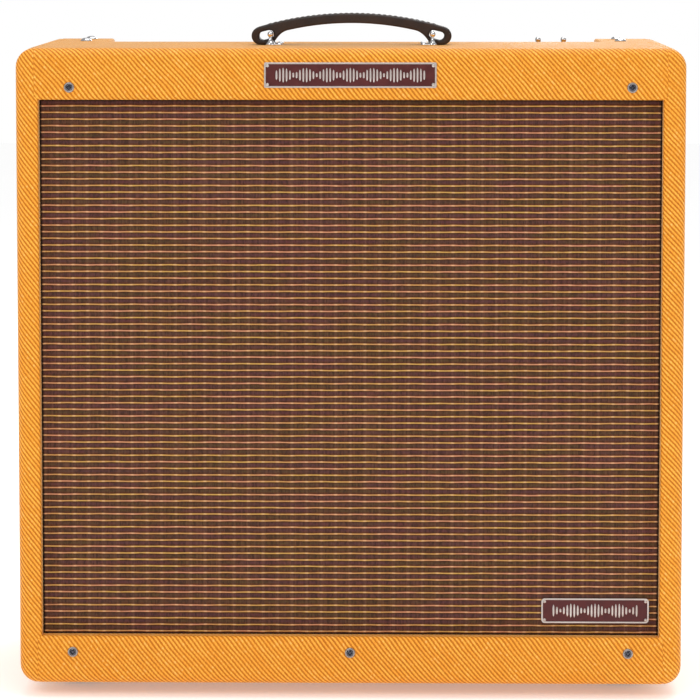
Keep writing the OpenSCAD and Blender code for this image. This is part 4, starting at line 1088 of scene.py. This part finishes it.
def pointer_knob(name, x):
    origin = at(x, PANEL_Y, ROOF_Z)
    turned_piece(name + "_skirt", SKIRT, [origin], KNOB, 48, body=name, slot="knob", replaces=[name])

    def crowned(a, b, out):
        along = -b / MM
        drop = max(0.0, along - 4) * 0.42 + max(0.0, -along - 5) * 1.1
        up = out / MM + 5.6
        top = 11.2
        lift = up - drop * max(0.0, up / top) ** 1.5
        return origin @ (Vector((a / MM, b / MM, 5.1 + lift)) * MM)
    grip = plate_mesh(name + "_grip", [pointer_outline(7.6, 15.2, 1.5)], 11.2 * MM, 1.3 * MM, crowned, 4)
    weigh_normals(piece(name + "_grip", grip, KNOB, body=name, slot="knob", angle=50))
    line = Build()
    rows = []
    for t in spread(0, 1, 6):
        y = -3.0 - 12.4 * t
        drop = max(0.0, -y - 4) * 0.42
        z = 16.32 - drop
        rows.append(bare(origin @ (Vector((s * 0.55, y, z)) * MM) for s in (-1, 1)))
    line.grid(rows, outward=(0, 0, 1))
    mark = piece(name + "_line", line.mesh(name + "_line"), WHITE, body=name, slot="knob")
    mark.modifiers.new("thickness", "SOLIDIFY").thickness = 0.25 * MM


for knob_name, knob_x in KNOB_XS.items():
    pointer_knob(knob_name, knob_x)


def dial_marks():
    """Ticks and numbers round each knob, as thin raised ink on the panel. Seen from above they run
    clockwise from 1, where the joint has its upper limit, to 12 at its lower one."""
    count, low, high = 12, *joint("volume_turn")["range_deg"]
    ticks = Build()
    numbers = []
    for x in KNOB_XS.values():
        for i in range(count):
            a = radians(-90 + high - i * (high - low) / (count - 1))
            ray = Vector((cos(a), sin(a), 0))
            side = Vector((-ray.y, ray.x, 0))
            place = at(x, PANEL_Y, ROOF_Z)
            corners = [ray * r + side * s + Vector((0, 0, 0.06))
                       for r, s in ((11.4, -0.18), (11.4, 0.18), (13.0, 0.18), (13.0, -0.18))]
            ticks.fan(bare(place @ (c * MM) for c in corners), outward=(0, 0, 1))
            numbers.append((str(i + 1), x + ray.x * 15.2 * MM, PANEL_Y + ray.y * 15.2 * MM))
    piece("dial_ticks", ticks.mesh("dial_ticks"), INK, slot="steel")
    bm = bmesh.new()
    for text, x, y in numbers:
        font = bpy.data.curves.new("number", "FONT")
        font.body = text
        font.size = 3.4 * MM
        font.extrude = 0.03 * MM
        font.align_x, font.align_y = "CENTER", "CENTER"
        mesh = drawn_mesh("number", font)
        mesh.transform(at(x, y, ROOF_Z + 0.05 * MM) @ Matrix.Rotation(pi, 4, "Z"))
        bm.from_mesh(mesh)
        bpy.data.meshes.remove(mesh)
    mesh = bpy.data.meshes.new("dial_numbers")
    bm.to_mesh(mesh)
    bm.free()
    piece("dial_numbers", mesh, INK, slot="steel")


dial_marks()

jewel_low, jewel_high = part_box("pilot_jewel")
jewel_origin = at((jewel_low.x + jewel_high.x) / 2, PANEL_Y, ROOF_Z)


def jewel():
    """A cut glass lens: two crowns of facets round a flat table."""
    b = Build()
    rings = [(8.2, 4.2, 0), (8.4, 6.2, 0), (8.2, 8.2, 0.5), (6.6, 10.4, 0), (4.2, 12.1, 0.5), (0, 12.5, 0)]
    rows = [bare(jewel_origin @ (p * MM) for p in ring(r, h, 12, twist)) for r, h, twist in rings]
    b.grid(rows, around=True)
    piece("pilot_jewel_lens", b.mesh("pilot_jewel_lens"), JEWEL, slot="jewel", replaces=["pilot_jewel"],
          angle=5)


jewel()
HOLDER = [(7.3, -20), (8.2, -20), (8.2, -0.2), (10.2, 0), (10.6, 0.5), (10.5, 1.4), (10.1, 2.2), (9.9, 3.6),
          (9.4, 4.3), (8.7, 4.5), (8.0, 4.3), (7.4, 3.6), (7.3, -20)]
turned_piece("pilot_lamp_bezel", HOLDER, [jewel_origin], CHROME, 48, slot="chrome",
             replaces=["pilot_lamp_holder"])


def toggle(name):
    tilt = Matrix.Rotation(radians(12), 4, "X")
    m = at(joint(name)["pos_m"][0], PANEL_Y, ROOF_Z + 0.5 * MM) @ tilt
    profile = [(0, -3), (2.1, -2.1), (3, 0), (2.4, 1.9), (1.7, 3.2), (1.65, 6), (1.8, 9), (2.15, 13),
               (2.5, 17), (2.7, 19.5), (2.62, 21), (2.2, 22.1), (1.3, 22.8), (0, 23)]
    lever = name + "_lever"
    turned_piece(lever + "_bat", profile, [m], CHROME, 32, body=lever, slot="chrome", replaces=[lever])


toggle("standby_toggle")
toggle("power_toggle")

BOLT = [(5.4, 0), (5.5, 0.35), (5.1, 1.3), (4.2, 2.2), (3.0, 2.8), (1.6, 3.1), (0, 3.2)]
BOLT_X, BOLT_YS = 251.6, (60, 110)
bolt_spots = [at(sx * BOLT_X * MM, y * MM, TOP_Z) for sx in (-1, 1) for y in BOLT_YS]
turned_piece("chassis_bolt_caps", BOLT + [(0, 0)], bolt_spots, CHROME, 36, slot="chrome")
finish_node("chassis_bolts", STEEL)


# ------------------------------------------------------------------ loudspeakers

SPEAKER_DEPTH = 26 * MM
SPEAKER_UP = (WINDOW_LOW + WINDOW_HIGH) / 2
SPEAKER_X, SPEAKER_RISE = 135 * MM, 132 * MM
SPEAKERS = {"cone_" + level + side: lean_matrix(sx * SPEAKER_X, SPEAKER_DEPTH, SPEAKER_UP + sy * SPEAKER_RISE)
            for sy, level in ((-1, "lower_"), (1, "upper_")) for sx, side in ((-1, "left"), (1, "right"))}


def cone_parts():
    """The ribbed paper with its pleated edge, the dust cap, the coil former and the spider, each as
    (profile in millimetres, material, steps)."""
    paper = [(106, -4.2), (104.5, -3.4), (103, -4.6), (101.5, -3.6), (100, -4.9), (98.2, -4.2), (96.8, -5.6)]
    for i in range(1, 25):
        t = i / 24
        rib = 0.35 if i % 4 == 0 else 0
        paper.append((96.8 - 76.8 * t, -5.6 - 45.2 * t - 2.2 * sin(pi * t) + rib))
    paper += [(r, z - 0.9) for r, z in paper[::-1]] + [paper[0]]
    cap = [(0, -38.6), (6, -39.0), (12, -40.4), (18, -43.0), (24, -46.8), (26.5, -49.0), (25.8, -49.6),
           (24, -47.8), (12, -41.4), (0, -39.6)]
    coil = [(19, -50), (20, -50), (20, -80), (19, -80), (19, -50)]
    spider = [(20 + 2 * i, -61.6 + 0.9 * sin(i * pi / 2)) for i in range(18)]
    spider += [(r, z - 0.5) for r, z in spider[::-1]] + [spider[0]]
    return {"_paper": (paper, PAPER, 72), "_dust_cap": (cap, PAPER, 48), "_coil": (coil, STEEL, 48),
            "_spider": (spider, LEATHER, 56)}


def loudspeakers():
    parts = cone_parts()
    for name, m in SPEAKERS.items():
        for part, (profile, material, steps) in parts.items():
            stands_for = [name] if part == "_paper" else []
            turned_piece(name + part, profile, [m], material, steps, body=name, slot="cone_paper",
                         replaces=stands_for)


loudspeakers()


def magnets():
    """Ferrite rings between plated plates, with a pressed cover at the back."""
    ferrite, plates = Build(), Build()
    for m in SPEAKERS.values():
        ferrite.lathe([(30, -80), (49, -80), (50, -81), (50, -92.5), (49, -93.5), (30, -93.5), (30, -80)],
                      64, m, MM)
        plates.lathe([(24, -74.2), (46.5, -74.2), (47.5, -75.2), (47.5, -80), (24, -80), (24, -74.2)],
                     64, m, MM)
        plates.lathe([(0, -93.5), (47, -93.5), (48, -94.4), (48, -97.6), (46.6, -99.2), (24, -99.9),
                      (22, -98.4), (0, -98.4)], 64, m, MM)
    piece("magnet_rings", ferrite.mesh("magnet_rings"), MAGNET, slot="magnet", replaces=["speaker_magnets"])
    piece("magnet_plates", plates.mesh("magnet_plates"), STEEL, slot="magnet")


magnets()


# ------------------------------------------------------------------ feet and the other CAD pieces

FOOT = [(0, 5.6), (5.2, 5.6), (5.5, 5.2), (5.5, 0.6), (6.1, 0), (15.8, 0), (16.9, 0.7), (17.3, 2), (18.8, 11),
        (18.9, 12.1), (18.4, 12.5), (0, 12.5)]
FOOT_X, FOOT_YS = 250, (-62, 96)
foot_spots = [at(sx * FOOT_X * MM, y * MM, 0) for sx in (-1, 1) for y in FOOT_YS]
turned_piece("rubber_feet", FOOT, foot_spots, RUBBER, 48, slot="rubber", replaces=["feet"])

NODE_FINISH = {
    "side_board_left": (PINE_UPRIGHT, 0.4), "side_board_right": (PINE_UPRIGHT, 0.4),
    "top_board": (PINE_ACROSS, 0), "bottom_board": (PINE_ACROSS, 0),
    "upper_front_rail": (PINE_ACROSS, 0.4), "lower_front_rail": (PINE_ACROSS, 0.4),
    "cleats": (PINE_UPRIGHT, 0.7), "baffle_board": (PLYWOOD, 0.3),
    "foot_screws": (STEEL, 0.2), "chassis_tray": (CHASSIS, 0.25), "main_circuit_board": (CIRCUIT, 0.15),
    "power_supply_board": (CIRCUIT, 0.15), "heat_sink": (ALUMINIUM, 0.15), "potentiometers": (STEEL, 0.4),
    "input_jacks": (BLACK, 0.4), "switch_bodies": (STEEL, 0.3), "panel_nuts": (CHROME, 0.25),
    "mains_inlet": (BLACK, 0.4), "line_out_socket": (BLACK, 0.4), "footswitch_jack": (BLACK, 0.3),
    "output_selector_knob": (KNOB, 0.5), "line_level_knob": (KNOB, 0.4), "filter_slide": (BLACK, 0.25),
    "speaker_baskets": (BASKET, 0.5), "speaker_bolts": (STEEL, 0.2), "speaker_leads": (LEAD, 0),
}
for node_name, (material, bevel) in NODE_FINISH.items():
    finish_node(node_name, material, bevel * MM)


# ------------------------------------------------------------------ floor, light and camera

def stage():
    bm = bmesh.new()
    bmesh.ops.create_grid(bm, x_segments=4, y_segments=4, size=7)
    mesh = bpy.data.meshes.new("floor")
    bm.to_mesh(mesh)
    bm.free()
    floor = placed("floor", mesh)
    g = Graph("floor_paint", roughness=0.8, specular_ior_level=0.1, emission_strength=0.24)
    g.shader.inputs["Emission Color"].default_value = (1, 1, 1, 1)
    cloud = g.noise(g.place(), 3, 2)
    g.colour(g.mix(cloud, (0.94, 0.94, 0.94, 1), (0.96, 0.96, 0.96, 1)))
    mesh.materials.append(g.material)


def area_light(name, place, target, size, power):
    data = bpy.data.lights.new(name, "AREA")
    data.size = size
    data.energy = power
    lamp = placed(name, data)
    lamp.location = place
    lamp.rotation_mode = "QUATERNION"
    lamp.rotation_quaternion = (Vector(target) - Vector(place)).to_track_quat("-Z", "Y")


def lights():
    """A white room that is darker where it is only seen in gloss, and four soft lamps."""
    world = bpy.data.worlds.new("studio")
    bpy.context.scene.world = world
    world.use_nodes = True
    tree = world.node_tree
    back = tree.nodes["Background"]
    back.inputs["Color"].default_value = (1, 1, 1, 1)
    ray = tree.nodes.new("ShaderNodeLightPath")
    room, shine, seen = 0.78, 0.38, 1.0
    level = back.inputs["Strength"]
    for kind, wanted in (("Is Glossy Ray", shine), ("Is Camera Ray", seen)):
        part = tree.nodes.new("ShaderNodeMath")
        part.operation = "MULTIPLY_ADD"
        tree.links.new(ray.outputs[kind], part.inputs[0])
        part.inputs[1].default_value = wanted - room
        part.inputs[2].default_value = room
        if level.links:
            tree.links.new(level.links[0].from_socket, part.inputs[2])
        tree.links.new(part.outputs[0], level)
    area_light("key", (-1.3, -2.5, 2.3), (0, 0, 0.3), 1.3, 22)
    area_light("top", (0.2, 0.1, 2.6), (0, 0, 0.4), 1.8, 27)
    area_light("fill", (2.3, -2.2, 1.1), (0, 0, 0.3), 1.4, 8)
    area_light("rear", (0.9, 2.6, 1.6), (0, 0, 0.35), 1.6, 18)


def camera():
    distance = 2.6
    data = bpy.data.cameras.new("camera")
    data.lens = 152.0
    data.sensor_width = 36
    data.shift_y = -0.0557
    cam = placed("camera", data)
    eye = Vector((0.04, FRONT_Y - distance, TOP_Z + 100 * MM))
    target = Vector((0.0001, FRONT_Y, BOTTOM_Z + 340 * MM))
    cam.location = eye
    cam.rotation_mode = "QUATERNION"
    cam.rotation_quaternion = (target - eye).to_track_quat("-Z", "Y")
    bpy.context.scene.camera = cam


stage()
lights()
camera()
bpy.context.scene.view_settings.view_transform = "Standard"
